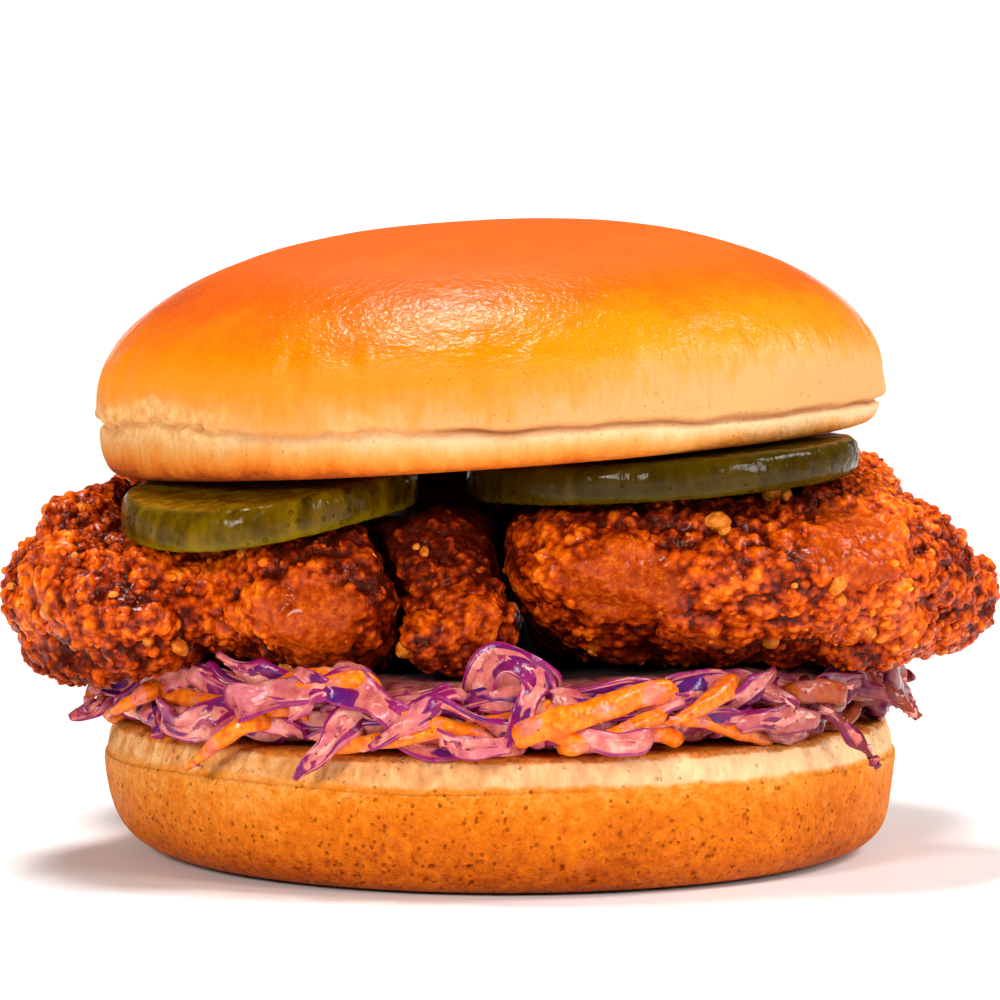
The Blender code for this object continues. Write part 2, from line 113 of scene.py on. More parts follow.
def headingOf(angles):  # degrees from the front, to the right positive, for angles measured from +X
    return (np.degrees(angles) + 90 + 180) % 360 - 180


def facing(heading, towards):  # 1 where a side faces a heading, 0 from 90 degrees away
    return np.clip(np.cos(np.radians(heading - towards)), 0, 1)


# Meshes

def curveThrough(points, steps):  # a smooth row of points through the given ones
    points = np.array(points, dtype=float)
    padded = np.vstack([2 * points[0] - points[1], points, 2 * points[-1] - points[-2]])
    rows = []
    for a, b, c, d in zip(padded, padded[1:], padded[2:], padded[3:]):
        t = np.arange(steps)[:, None] / steps
        bend, twist = 2 * a - 5 * b + 4 * c - d, 3 * b - a - 3 * c + d
        rows.append(0.5 * (2 * b + (c - a) * t + bend * t**2 + twist * t**3))
    return np.vstack(rows + [points[-1:]])


def ringNormals(rings):
    around = np.roll(rings, -1, axis=1) - np.roll(rings, 1, axis=1)
    along = np.gradient(rings, axis=0)
    normals = np.cross(around, along)
    return normals / np.maximum(np.linalg.norm(normals, axis=-1, keepdims=True), 1e-12)


def stand(name, mesh, finish, layers=None):  # a mesh set in the scene as a piece
    mesh.name = name
    mesh.materials.clear()
    mesh.materials.append(finish)
    mesh.shade_smooth()
    for layer, values in (layers or {}).items():
        values = np.asarray(values, dtype=np.float32)
        mesh.attributes.new(layer, "FLOAT", "POINT").data.foreach_set("value", values)
    piece = bpy.data.objects.new(name, mesh)
    bpy.context.scene.collection.objects.link(piece)
    return piece


def evaluated(holder):  # the mesh that an object's modifiers give, in place of the object
    bpy.context.scene.collection.objects.link(holder)
    bpy.context.view_layer.update()
    mesh = bpy.data.meshes.new_from_object(holder.evaluated_get(bpy.context.evaluated_depsgraph_get()))
    bpy.data.objects.remove(holder)
    return mesh


def readVectors(collection, key):
    values = np.empty(len(collection) * 3)
    collection.foreach_get(key, values)
    return values.reshape(-1, 3)


def addPiece(name, vertices, faces, finish, layers=None):
    mesh = bpy.data.meshes.new(name)
    mesh.from_pydata([tuple(v) for v in vertices], [], faces)
    return stand(name, mesh, finish, layers)


def tube(levels, around, start=0):  # faces between rings of points that follow each other
    faces = []
    for level in range(levels - 1):
        a, b = start + level * around, start + (level + 1) * around
        for i in range(around):
            j = (i + 1) % around
            faces.append((a + i, a + j, b + j, b + i))
    return faces


def ringPiece(name, rings, finish, layers):  # a closed skin through rings of points, from the bottom up
    levels, around = rings.shape[:2]
    vertices = np.vstack([rings.reshape(-1, 3), rings[0].mean(axis=0), rings[-1].mean(axis=0)])
    low, high, top = levels * around, levels * around + 1, (levels - 1) * around
    faces = tube(levels, around)
    for i in range(around):
        j = (i + 1) % around
        faces += [(low, j, i), (high, top + i, top + j)]
    full = {}
    for layer, values in layers.items():
        full[layer] = np.concatenate([values.reshape(-1), [values[0].mean(), values[-1].mean()]])
    return addPiece(name, vertices, faces, finish, full)


def nodeMesh(node):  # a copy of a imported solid's mesh with its loose triangles joined
    bm = bmesh.new()
    bm.from_mesh(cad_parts[node].data)
    bmesh.ops.remove_doubles(bm, verts=bm.verts, dist=0.00001)
    return bm


def nodeTree(*nodes):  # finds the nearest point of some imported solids
    vertices, faces = [], []
    for node in nodes:
        bm = nodeMesh(node)
        start = len(vertices)
        vertices += [v.co.copy() for v in bm.verts]
        faces += [[v.index + start for v in face.verts] for face in bm.faces]
        bm.free()
    return BVHTree.FromPolygons(vertices, faces)


# Materials

def rgb(red, green, blue):  # a colour as a screen shows it, 0 to 255, made linear
    def linear(value):
        share = value / 255
        return share / 12.92 if share <= 0.04045 else ((share + 0.055) / 1.055) ** 2.4
    return (linear(red), linear(green), linear(blue), 1.0)


class Value:  # a socket that can stand in plain arithmetic
    def __init__(self, finish, socket):
        self.finish, self.socket = finish, socket

    def maths(self, operation, first, second=None):
        values = {0: first} if second is None else {0: first, 1: second}
        return self.finish.node("ShaderNodeMath", {"operation": operation}, values)

    def __add__(self, other):
        return self.maths("ADD", self, other)

    def __sub__(self, other):
        return self.maths("SUBTRACT", self, other)

    def __rsub__(self, other):
        return self.maths("SUBTRACT", other, self)

    def __mul__(self, other):
        return self.maths("MULTIPLY", self, other)

    __radd__, __rmul__ = __add__, __mul__


class Finish:  # a material being made, with one method for any node
    def __init__(self, name, **constants):
        self.material = bpy.data.materials.new(name)
        self.material.use_nodes = True
        self.tree = self.material.node_tree
        self.shader = self.tree.nodes["Principled BSDF"]
        for socket, value in constants.items():
            self.shader.inputs[socket.replace("_", " ")].default_value = value
        self.place = self.node("ShaderNodeTexCoord", out="Object")

    def node(self, kind, settings=None, values=None, out=0, stops=None):
        made = self.tree.nodes.new(kind)
        for setting, value in (settings or {}).items():
            setattr(made, setting, value)
        if stops:
            ramp = made.color_ramp
            while len(ramp.elements) < len(stops):
                ramp.elements.new(0.5)
            for element, (position, colour) in zip(ramp.elements, stops):
                element.position, element.color = position, rgb(*colour)
        for name, value in (values or {}).items():
            socket = self.find(made.inputs, name)
            if isinstance(value, Value):
                self.tree.links.new(value.socket, socket)
            else:
                socket.default_value = value
        return Value(self, self.find(made.outputs, out))

    def find(self, sockets, name):
        if isinstance(name, int):
            return sockets[name]
        return next(s for s in sockets if name in (s.identifier, s.name))

    def layer(self, name):  # a piece's own attribute
        return self.node("ShaderNodeAttribute", {"attribute_name": name}, out="Fac")

    def grain(self, size, detail=2.0, place=None, rough=0.5, warp=0.0):  # cloudy noise, size in mm
        values = {"Vector": place or self.place, "Scale": 1 / (size * mm), "Detail": detail,
                  "Roughness": rough, "Distortion": warp}
        return self.node("ShaderNodeTexNoise", values=values, out="Fac")

    def cells(self, size, place=None):  # distance to the nearest of many scattered centres
        values = {"Vector": place or self.place, "Scale": 1 / (size * mm)}
        return self.node("ShaderNodeTexVoronoi", values=values, out="Distance")

    def specks(self, size, small, large, cloud, thin, thick):  # dots, gathered where a cloud is dense
        return self.between(self.cells(size), small, large, 1, 0) * self.between(cloud, thin, thick)

    def vector(self, operation, first, second):
        return self.node("ShaderNodeVectorMath", {"operation": operation}, {0: first, 1: second})

    def wobbled(self, size, reach):  # object coordinates with a small shift in any direction
        values = {"Vector": self.place, "Scale": 1 / (size * mm)}
        cloud = self.node("ShaderNodeTexNoise", values=values, out="Color")
        centred = self.vector("SUBTRACT", cloud, (0.5, 0.5, 0.5))
        return self.vector("ADD", self.place, self.vector("MULTIPLY", centred, (reach * mm,) * 3))

    def stretched(self, x, y, z):  # object coordinates squeezed along each axis
        return self.vector("MULTIPLY", self.place, (x, y, z))

    def between(self, value, low, high, start=0.0, end=1.0):
        values = {"Value": value, "From Min": low, "From Max": high, "To Min": start, "To Max": end}
        return self.node("ShaderNodeMapRange", {"interpolation_type": "SMOOTHSTEP"}, values, "Result")

    def ramp(self, value, stops):
        return self.node("ShaderNodeValToRGB", None, {"Fac": value}, "Color", stops)

    def mix(self, factor, *colours):
        first, second = (c if isinstance(c, Value) else rgb(*c) for c in colours)
        values = {"Factor_Float": factor, "A_Color": first, "B_Color": second}
        return self.node("ShaderNodeMix", {"data_type": "RGBA"}, values, "Result_Color")

    def bump(self, height, depth, normal=None):  # depth in mm
        values = {"Height": height, "Distance": depth * mm, "Strength": 1.0}
        if normal:
            values["Normal"] = normal
        return self.node("ShaderNodeBump", values=values, out="Normal")

    def done(self, **links):
        for name, value in links.items():
            socket = self.shader.inputs[name.replace("_", " ")]
            if isinstance(value, Value):
                self.tree.links.new(value.socket, socket)
            else:
                socket.default_value = value
        return self.material


# Geometry Nodes

class Recipe:  # a Geometry Nodes tree being made, with one method for any node
    def __init__(self, name):
        self.tree = bpy.data.node_groups.new(name, "GeometryNodeTree")
        self.tree.interface.new_socket("Geometry", in_out="OUTPUT", socket_type="NodeSocketGeometry")
        self.tree.interface.new_socket("Surface", in_out="INPUT", socket_type="NodeSocketGeometry")
        self.given = self.tree.nodes.new("NodeGroupInput")

    def ask(self, name, kind="Float"):  # a named input
        self.tree.interface.new_socket(name, in_out="INPUT", socket_type="NodeSocket" + kind)
        return next(s for s in self.given.outputs if s.name == name)

    def node(self, kind, settings=None, values=None, out=0):
        made = self.tree.nodes.new(kind)
        for setting, value in (settings or {}).items():
            setattr(made, setting, value)
        for name, value in (values or {}).items():
            socket = made.inputs[name] if isinstance(name, int) else self.find(made.inputs, name)
            if isinstance(value, bpy.types.NodeSocket):
                self.tree.links.new(value, socket)
            else:
                socket.default_value = value
        return made.outputs[out] if isinstance(out, int) else self.find(made.outputs, out)

    def find(self, sockets, name):
        return next(s for s in sockets if name in (s.identifier, s.name) and s.enabled)

    def maths(self, operation, first, second):
        return self.node("ShaderNodeMath", {"operation": operation}, {0: first, 1: second})

    def drawn(self, low, high, seed):  # a random number or vector for each point
        kind = "FLOAT_VECTOR" if isinstance(low, tuple) else "FLOAT"
        values = {"Min": low, "Max": high, "Seed": seed}
        return self.node("FunctionNodeRandomValue", {"data_type": kind}, values, "Value")

    def scaled(self, vector, factor):
        return self.node("ShaderNodeVectorMath", {"operation": "SCALE"}, {0: vector, "Scale": factor})

    def finish(self, geometry, material):
        joined = self.node("GeometryNodeRealizeInstances", None, {0: geometry})
        dressed = self.node("GeometryNodeSetMaterial", None, {"Geometry": joined, "Material": material})
        self.tree.links.new(dressed, self.tree.nodes.new("NodeGroupOutput").inputs[0])
        return self.tree


def grown(tree, surface, name, **given):  # what a tree grows on a surface, as a plain piece
    carrier = surface.copy()
    modifier = carrier.modifiers.new("grow", "NODES")
    modifier.node_group = tree
    for item in tree.interface.items_tree:
        if item.in_out == "INPUT" and item.name in given:
            modifier[item.identifier] = given[item.name]
    mesh = evaluated(carrier)
    mesh.polygons.foreach_set("material_index", [0] * len(mesh.polygons))
    return stand(name, mesh, given["Finish"])


def nubRecipe():  # rounded, uneven nubs sunk into a surface, set where its "beads" layer is high
    recipe = Recipe("nubs")
    spacing, density, smallest, largest, flatness, uneven = (
        recipe.ask(name) for name in ("Spacing", "Density", "Smallest", "Largest", "Flatness", "Uneven"))
    seed, material = recipe.ask("Seed", "Int"), recipe.ask("Finish", "Material")
    where = recipe.node("GeometryNodeInputNamedAttribute", {"data_type": "FLOAT"}, {"Name": "beads"},
                        "Attribute")
    spread = recipe.tree.nodes.new("GeometryNodeDistributePointsOnFaces")
    spread.distribute_method = "POISSON"
    links = {"Mesh": recipe.given.outputs["Surface"], "Distance Min": spacing, "Density Max": density,
             "Density Factor": where, "Seed": seed}
    for name, socket in links.items():
        recipe.tree.links.new(socket, recipe.find(spread.inputs, name))
    ball = recipe.node("GeometryNodeMeshIcoSphere", None, {"Radius": 1.0, "Subdivisions": 2}, "Mesh")
    bias = recipe.maths("POWER", recipe.drawn(0.0, 1.0, seed), 2.2)  # small ones are commoner
    values = {"Value": bias, "To Min": smallest, "To Max": largest}
    radius = recipe.node("ShaderNodeMapRange", None, values, "Result")
    stretch = recipe.drawn((0.75, 0.75, 0.75), (1.3, 1.3, 1.0), seed)
    flat = recipe.node("ShaderNodeCombineXYZ", None, {"X": 1.0, "Y": 1.0, "Z": flatness})
    shape = recipe.node("ShaderNodeVectorMath", {"operation": "MULTIPLY"}, {0: stretch, 1: flat})
    spin = recipe.drawn((0, 0, 0), (0.5, 0.5, 6.28), seed)
    turn = recipe.node("FunctionNodeRotateRotation", {"rotation_space": "LOCAL"},
                       {"Rotation": spread.outputs["Rotation"], "Rotate By": spin})
    values = {"Points": spread.outputs["Points"], "Instance": ball, "Rotation": turn,
              "Scale": recipe.scaled(shape, radius)}
    placed = recipe.node("GeometryNodeInstanceOnPoints", None, values)
    toned = recipe.node("GeometryNodeStoreNamedAttribute", {"data_type": "FLOAT", "domain": "INSTANCE"},
                        {"Geometry": placed, "Name": "tone", "Value": recipe.drawn(0.0, 1.0, 5)})
    real = recipe.node("GeometryNodeRealizeInstances", None, {0: toned})
    values = {"Vector": recipe.node("GeometryNodeInputPosition"), "Scale": 1 / (0.9 * mm)}
    lumps = recipe.node("ShaderNodeTexNoise", None, values, "Fac")
    push = recipe.maths("MULTIPLY", recipe.maths("SUBTRACT", lumps, 0.5), uneven)
    offset = recipe.scaled(recipe.node("GeometryNodeInputNormal"), push)
    moved = recipe.node("GeometryNodeSetPosition", None, {"Geometry": real, "Offset": offset})
    return recipe.finish(recipe.node("GeometryNodeSetShadeSmooth", None, {0: moved}), material)


# Upper half of the bun. Lengths in these dictionaries are in mm.

crown = dict(
    centreX=-1.3, radius=52.6, underside=35.7, height=30.4, widest=7.5, cutSlope=0.070, domeSlope=0.030,
    lean=0.022, creaseHeight=4.9, domePower=2.15, around=800,
    bandRough=0.12, dimples=0.30, foldDepth=1.45, foldWidth=0.42, lip=0.36, creases=0.42,
    tornLift=1.5, tornHeight=5.6,
    paleHeading=62, paleHeight=5.2, brownHeading=-75,  # where the lower edge is pale or brown, and how far up
    glossFrom=(5.0, 10.0), glossTo=(16, 23),  # heights between which the glaze comes in and goes out
    # where the crust is torn along its fold: heading from the front, half width in degrees, and how much
    tears=[(-60, 27, 1.0), (-17, 8, 0.45), (96, 16, 0.7), (150, 22, 0.9), (205, 14, 0.6), (246, 12, 0.8)],
)
# the edge, from the cut face out and up past the fold: distance in from the full radius, share of the way
# up to the fold, height above it
crownEdge = [(5.4, 0.0, 0.0), (4.1, 0.0, 0.0), (3.1, 0.015, 0.0), (2.3, 0.06, 0.0), (1.65, 0.15, 0.0),
             (1.15, 0.28, 0.0), (0.78, 0.44, 0.0), (0.58, 0.62, 0.0), (0.48, 0.80, 0.0), (0.42, 1.0, 0.0),
             (0.34, 1.0, 0.6), (0.22, 1.0, 1.3), (0.10, 1.0, 2.0)]


def tearing(heading):  # how torn the fold is at each heading
    total = np.zeros_like(heading)
    for middle, half, amount in crown["tears"]:
        apart = np.abs((heading - middle + 180) % 360 - 180)
        total = np.maximum(total, amount * (1 - ramped(apart, half * 0.55, half)))
    return total


def crownRings():
    c = crown
    angles = np.linspace(0, 2 * np.pi, c["around"], endpoint=False)
    radius = c["radius"] + 0.5 * wanders(angles, 1.1, 0.4)
    sway = 0.7 * wanders(angles, 2.3, 7.7)
    edge = curveThrough(crownEdge, 3)
    inner = np.linspace(0.1, 0.98, 6)  # the flat cut face, as shares of the first edge point's radius
    turn = np.radians(2 + 84.5 * np.linspace(0, 1, 76) ** 0.92)
    climb = c["height"] - c["widest"]
    domeScale = np.cos(turn) ** (2 / c["domePower"])
    domeAbove = c["widest"] - c["creaseHeight"] + climb * np.sin(turn) ** (2 / c["domePower"])
    scale = np.concatenate([inner, np.ones(len(edge)), domeScale])[:, None]
    inset = np.concatenate([inner * crownEdge[0][0], edge[:, 0], np.zeros(len(turn))])[:, None]
    share = np.concatenate([np.zeros(6), edge[:, 1], np.ones(len(turn))])[:, None]
    above = np.concatenate([np.zeros(6), np.maximum(edge[:, 2], 0), domeAbove])[:, None]
    reach = radius[None] * scale - inset
    x = c["centreX"] + reach * np.cos(angles)[None] + c["lean"] * above
    y = reach * np.sin(angles)[None]
    under = c["underside"] + (x - c["centreX"]) * c["cutSlope"]
    fold = c["underside"] + c["creaseHeight"] + (x - c["centreX"]) * c["domeSlope"] + sway[None]
    z = under + (fold - under) * share + above - sway[None] * np.minimum(above / 8, 1)
    rings = np.stack([x, y, z], axis=-1) * mm
    rings[..., 2] += heelTop
    return rings, angles, share + 0 * x, above + 0 * x, inset + 0 * x


def makeCrown(finish):
    c = crown
    rings, angles, share, above, inset = crownRings()
    heading = headingOf(angles)
    torn = tearing(heading)[None]
    side = ramped(share, 0.03, 0.15)
    overFold = (share - 1) * c["creaseHeight"] + above + 0.45 * wanders(angles, 9, 2.2)[None]
    overFold = overFold + torn * 1.4 * wanders(angles, 15, 5.5)[None]
    normals = ringNormals(rings)
    # torn crumb in soft clumps round the fold, with a ragged upper edge
    ragged = overFold + 2.4 * drift(rings, 6.5, 31) + 0.7 * drift(rings, 2.2, 32, 2)
    tornCrumb = torn * ramped(overFold, -2.4, -0.4)
    tornCrumb = tornCrumb * (1 - ramped(ragged, c["tornHeight"] * 0.42, c["tornHeight"] * 0.9))
    near, _, own = pebbles(rings * (1, 1, 1.5), 4.6, 33)
    clumps = domes(near, 0.85) * (0.4 + 0.6 * own)
    push = c["tornLift"] * tornCrumb * (clumps - 0.5 + 0.22 * drift(rings, 2.6, 34))
    depth = c["foldDepth"] * (0.45 + 0.55 * ramped(drift(rings * (1, 1, 0.1), 24, 35, 2), -0.35, 0.35))
    depth = depth * (1 - 0.1 * torn)
    groove = np.exp(-(overFold / c["foldWidth"]) ** 2)
    push -= depth * groove
    push += c["lip"] * (1 - torn) * np.exp(-((overFold - 1.2) / 0.75) ** 2) * (1 + drift(rings, 9, 36))
    onDome = ramped(above, 1.0, 7.0)
    onBand = side * (1 - ramped(overFold, -1.2, 0.0))
    push += onBand * c["bandRough"] * (drift(rings * (1, 1, 0.5), 1.1, 41, 2) + 0.8 * drift(rings, 3.2, 42))
    push += onDome * c["dimples"] * drift(rings, 15, 45, 2)
    lowDome = ramped(overFold, 0.3, 1.5) * (1 - ramped(above, 4, 15))
    push += lowDome * 0.14 * drift(rings * (1, 1, 0.25), 2.2, 46, 2)
    # shallow creases that run up from the fold
    creased = ramped(overFold, 0.8, 2.8) * (1 - ramped(above, 8, 15))
    push -= creased * c["creases"] * ramped(drift(rings * (1, 1, 0.16), 4.2, 50, 2), 0.05, 0.55)
    rings = rings + normals * (push * mm)[..., None]
    # paler low on the right of the front, deeper on top
    right = facing(heading, c["paleHeading"])[None] ** 1.7
    left = facing(heading, c["brownHeading"])[None]
    pale = -0.9 + c["paleHeight"] * right + 2.0 * drift(rings, 12, 47, 2)
    bake = ramped(above - pale * 0.5, 0, 24) * 0.62 + ramped(above, pale - 2, pale + 12) * 0.38
    bake = bake - 0.10 * right * (1 - ramped(above, 8, 20))
    band = 1 - ramped(overFold, -0.6, 0.6)
    toast = 1 - share + 0.10 * drift(rings * (1, 1, 0.4), 1.4, 48, 2) + 0.14 * drift(rings, 6, 49)
    toast = toast - 0.18 * right + 0.12 * left
    gloss = ramped(above, *c["glossFrom"]) * (1 - ramped(above, *c["glossTo"]))
    # fold is highest in the groove; the finish paints shade along the fold with it
    fold = groove**1.5 * depth / c["foldDepth"]
    layers = {"bake": bake, "crumb": tornCrumb, "band": band, "toast": toast * (1 - ramped(above, 0, 0.3)),
              "fold": fold, "gloss": gloss}
    return ringPiece("bunCrown", rings, finish, layers)


def crustFinish():  # egg-washed crust, its pale lower band with a toasted edge, and torn crumb along the fold
    f = Finish("glazed crust", Specular_IOR_Level=0.25, Specular_Tint=(1.0, 0.88, 0.72, 1))
    streaks = f.grain(1.3, 3, f.stretched(1, 1, 0.18), 0.6)
    fine = f.grain(0.8, 2)
    bake = f.layer("bake") + (f.grain(7, 3, rough=0.62) - 0.5) * 0.34 + (fine - 0.5) * 0.10
    bake = bake + (streaks - 0.5) * f.between(f.layer("bake"), 0.15, 0.55, 0.40, 0.04)
    baked = f.ramp(bake, [(0.0, (222, 160, 98)), (0.16, (230, 148, 62)), (0.34, (240, 134, 14)),
                          (0.58, (242, 126, 0)), (0.82, (232, 95, 0)), (1.0, (216, 84, 0))])
    freckle = f.specks(1.2, 0.08, 0.19, f.grain(5, 2), 0.42, 0.58)
    baked = f.mix(freckle * 0.55, baked, (182, 76, 8))
    toast = f.layer("toast") + (f.grain(0.9, 3, f.stretched(1, 1, 0.35), 0.65) - 0.5) * 0.30
    bandTone = f.ramp(toast, [(0.10, (232, 192, 142)), (0.42, (226, 158, 84)), (0.66, (226, 136, 46)),
                              (0.84, (216, 108, 18)), (0.94, (204, 94, 12)), (1.0, (176, 74, 8))])
    bandTone = f.mix(freckle * 0.6, bandTone, (178, 84, 16))
    colour = f.mix(f.layer("band"), baked, bandTone)
    crumbTone = f.ramp(f.grain(1.3, 4, rough=0.6), [(0.30, (224, 148, 72)), (0.50, (236, 176, 104)),
                                                    (0.70, (246, 200, 136))])
    crumb = f.layer("crumb")
    colour = f.mix(f.between(crumb, 0.1, 0.9) * 0.8, colour, crumbTone)
    # painted shade in the fold's groove
    colour = f.mix(f.layer("fold") * 0.85, colour, (160, 78, 18))
    smooth = f.layer("gloss") * (1 - f.between(crumb, 0.2, 0.5))
    roughness = 0.78 - smooth * 0.62 + fine * 0.06
    ripples = f.grain(0.85, 2, f.stretched(1, 1, 2.2), 0.6, 0.5)
    bumped = f.bump(ripples * 0.9, 0.20)
    bumped = f.bump(f.grain(3.6, 2, f.stretched(1, 1, 1.6)) * smooth, 0.35, bumped)
    low = 1 - f.between(f.layer("bake"), 0.15, 0.5)
    upright = f.grain(1.4, 3, f.stretched(1, 1, 0.2), 0.6)
    bumped = f.bump(upright * low + f.grain(0.8, 2) * crumb * 0.4, 0.60, bumped)
    return f.done(Base_Color=colour, Roughness=roughness, Normal=bumped)


# Lower half of the bun

heel = dict(
    radius=53.1, base=(39.6, 45.0), baseShift=0.8, footHeight=12.3, band=4.4, around=1080, bandRough=0.22,
    poreDepth=0.8, pores=[(2.8, 0.56), (1.6, 0.66)],  # spacing and how many of the places have one
    paleHeading=50, lightHeading=-80,
)
heelFoot = [(0.0, 0.0), (0.35, 0.3), (0.58, 0.9), (0.76, 2.3), (0.88, 4.5), (0.955, 8.0), (1.0, 12.3)]


def makeHeel(finish):
    h = heel
    height = heelTop / mm
    angles = np.linspace(0, 2 * np.pi, h["around"], endpoint=False)
    radius = h["radius"] + 0.3 * wanders(angles, 1.3, 5.2)
    line = height - h["band"] + 0.6 * wanders(angles, 2.1, 1.9)
    base = np.hypot(h["base"][0] * np.cos(angles), h["base"][1] * np.sin(angles))
    foot = curveThrough(heelFoot, 6)
    rows = [(base * s, 0 * base, 0) for s in np.linspace(0.1, 0.96, 5)]
    rows += [(base + (radius - base) * share, 0 * base + z, 0) for share, z in foot]
    # up the crust to the line, then across the band of crumb to the toasted rim: inset, share of the way to
    # the line or from it to the cut face
    crust = curveThrough([(0.0, 0.0), (0.0, 0.5), (0.03, 0.82), (0.12, 0.94), (0.28, 1.0)], 3)
    rows += [(radius - i, h["footHeight"] + (line - h["footHeight"]) * s, 0) for i, s in crust[1:]]
    crumbRows = [(0.40, 0.10), (0.60, 0.35), (0.95, 0.62), (1.35, 0.82), (1.9, 0.94), (2.7, 0.99), (4.0, 1.0)]
    rows += [(radius - i, line + (height - line) * s, s) for i, s in curveThrough(crumbRows, 4)]
    rows += [((radius - 4.0) * s, 0 * base + height, 1) for s in (0.98, 0.93, 0.85, 0.6, 0.25)]
    reach = np.array([row[0] for row in rows])
    z = np.array([row[1] + 0 * base for row in rows])
    onBand = np.array([row[2] + 0 * base for row in rows])
    shift = h["baseShift"] * (1 - ramped(z, 0, height / 2))
    rings = np.stack([shift + reach * np.cos(angles), reach * np.sin(angles), z], axis=-1) * mm
    normals = ringNormals(rings)
    heading = headingOf(angles)[None]
    crumb = ramped(onBand + 0.10 * drift(rings, 3, 71, 2), 0.02, 0.30)
    onSide = ramped(z, 0.25, 2.0) * ramped(line - z, 0.1, 1.6)
    lowPores = onSide * (1 - ramped(z, 4, 11) * 0.8) * (0.55 + 0.45 * ramped(drift(rings, 12, 61), -0.2, 0.3))
    deep, pits = np.zeros_like(z), np.zeros_like(z)
    for size, chance in h["pores"]:
        near, _, number = pebbles(rings * (1, 1, 1.25), size, int(62 + size * 10))
        cut = 0.32 * (0.5 + number / chance * 0.6) * (number < chance * lowPores)
        hole = 1 - ramped(near, cut * 0.35, cut + 0.001)
        deep = np.maximum(deep, hole * (cut > 0) * size / 2.6)
        pits = np.maximum(pits, hole * (cut > 0))
    push = -h["poreDepth"] * deep
    push += onSide * (0.22 * drift(rings, 14, 63, 2) + 0.07 * drift(rings, 2.2, 64, 2))
    fibres = 0.5 * drift(rings * (1, 1, 0.22), 1.0, 65, 2) + 1.1 * drift(rings * (1, 1, 0.5), 3.4, 66, 3)
    inBand = crumb * (1 - ramped(onBand, 0.9, 1.0))
    push += inBand * (h["bandRough"] * fibres + 0.10 * drift(rings, 0.8, 67))
    cracks = pebbles(rings * (1, 1, 0.12), 7.5, 68)[1]
    push -= onSide * ramped(z, 6, 10) * 0.16 * (1 - ramped(cracks, 0.0, 0.05))
    rings = rings + normals * (push * mm)[..., None]
    rim = ramped(onBand, 0.66, 0.90)
    toast = rim * (0.75 + 0.5 * drift(rings, 3.0, 69, 2))
    bake = 0.47 + 0.25 * drift(rings, 11, 70, 2) - 0.30 * ramped(z, 8, 15) + 0.34 * (1 - ramped(z, 0.5, 8))
    bake -= 0.10 * facing(heading, h["lightHeading"])
    pale = facing(heading, h["paleHeading"]) ** 2 + 0 * z
    # foot marks the very bottom edge, where the finish paints shadow along the floor line
    layers = {"bake": bake, "pale": pale, "low": 1 - ramped(z, 4, 12), "crumb": inBand, "toast": toast,
              "pit": pits, "foot": 1 - ramped(z, 0.05, 0.9)}
    return ringPiece("bunHeel", rings, finish, layers)


def heelFinish():
    f = Finish("toasted heel", Specular_IOR_Level=0.16, Specular_Tint=(1.0, 0.6, 0.3, 1))
    bake = f.layer("bake") + (f.grain(1.5, 4, rough=0.68) - 0.5) * 1.15 + (f.grain(0.45, 2) - 0.5) * 0.30
    baked = f.ramp(bake, [(0.0, (236, 156, 72)), (0.15, (232, 138, 40)), (0.36, (224, 116, 12)),
                          (0.6, (204, 97, 8)), (0.95, (164, 66, 4))])
    # painted shade inside the pores' holes
    baked = f.mix(f.between(f.layer("pit"), 0.1, 0.8) * 0.85, baked, (158, 60, 4))
    # small dimples: the bump below dents them, and their darker colour is painted shade
    small = f.specks(1.25, 0.12, 0.24, f.grain(4, 2) + f.layer("low") * 0.2, 0.46, 0.56)
    baked = f.mix(small * 0.75, baked, (160, 64, 8))
    crumb = f.ramp(f.grain(1.9, 4, f.stretched(1, 1, 0.45), 0.62),
                   [(0.30, (200, 122, 58)), (0.48, (222, 152, 84)), (0.68, (240, 190, 130))])
    crumb = f.mix(f.layer("pale") * 0.5, crumb, (252, 218, 176))
    crumbly = f.layer("crumb")
    colour = f.mix(f.between(crumbly + (f.grain(1.4, 3) - 0.5) * 0.8, 0.05, 0.95), baked, crumb)
    toast = f.between(f.layer("toast") + (f.grain(0.9, 3) - 0.5) * 0.7, 0.30, 0.75)
    toastTone = f.ramp(f.grain(0.8, 3), [(0.3, (160, 72, 8)), (0.6, (214, 118, 28))])
    colour = f.mix(toast * 0.9, colour, toastTone)
    # painted shadow along the bottom edge, where the bun meets the floor
    colour = f.mix(f.layer("foot") * 0.8, colour, (96, 34, 6))
    mottle = f.grain(0.8, 3, rough=0.65) * 1.3 + f.between(f.cells(0.95), 0.05, 0.3) * 0.4
    bumped = f.bump(mottle * (1 - crumbly) - small * 0.8, 0.48)
    bumped = f.bump(f.grain(0.9, 4, f.stretched(1, 1, 0.45), 0.62) * crumbly, 0.5, bumped)
    return f.done(Base_Color=colour, Roughness=0.58 + crumbly * 0.25, Normal=bumped)


# Pickles

pickles = {
    "pickle_left": dict(centre=(-29.8, -24.4), half=(19.2, 21.2), thick=5.4, droop=2.3, heading=-118,
                        deep=0, number=0),
    "pickle_right": dict(centre=(21.1, -22.0), half=(25.4, 24.0), thick=5.2, droop=0.3, heading=-90,
                         deep=0.75, number=1),
}
pickleGap = 0.35
pickleRim = [(0.90, -0.5), (0.955, -0.47), (0.985, -0.36), (1.0, -0.15), (1.0, 0.15), (0.985, 0.36),
             (0.955, 0.47), (0.90, 0.5)]


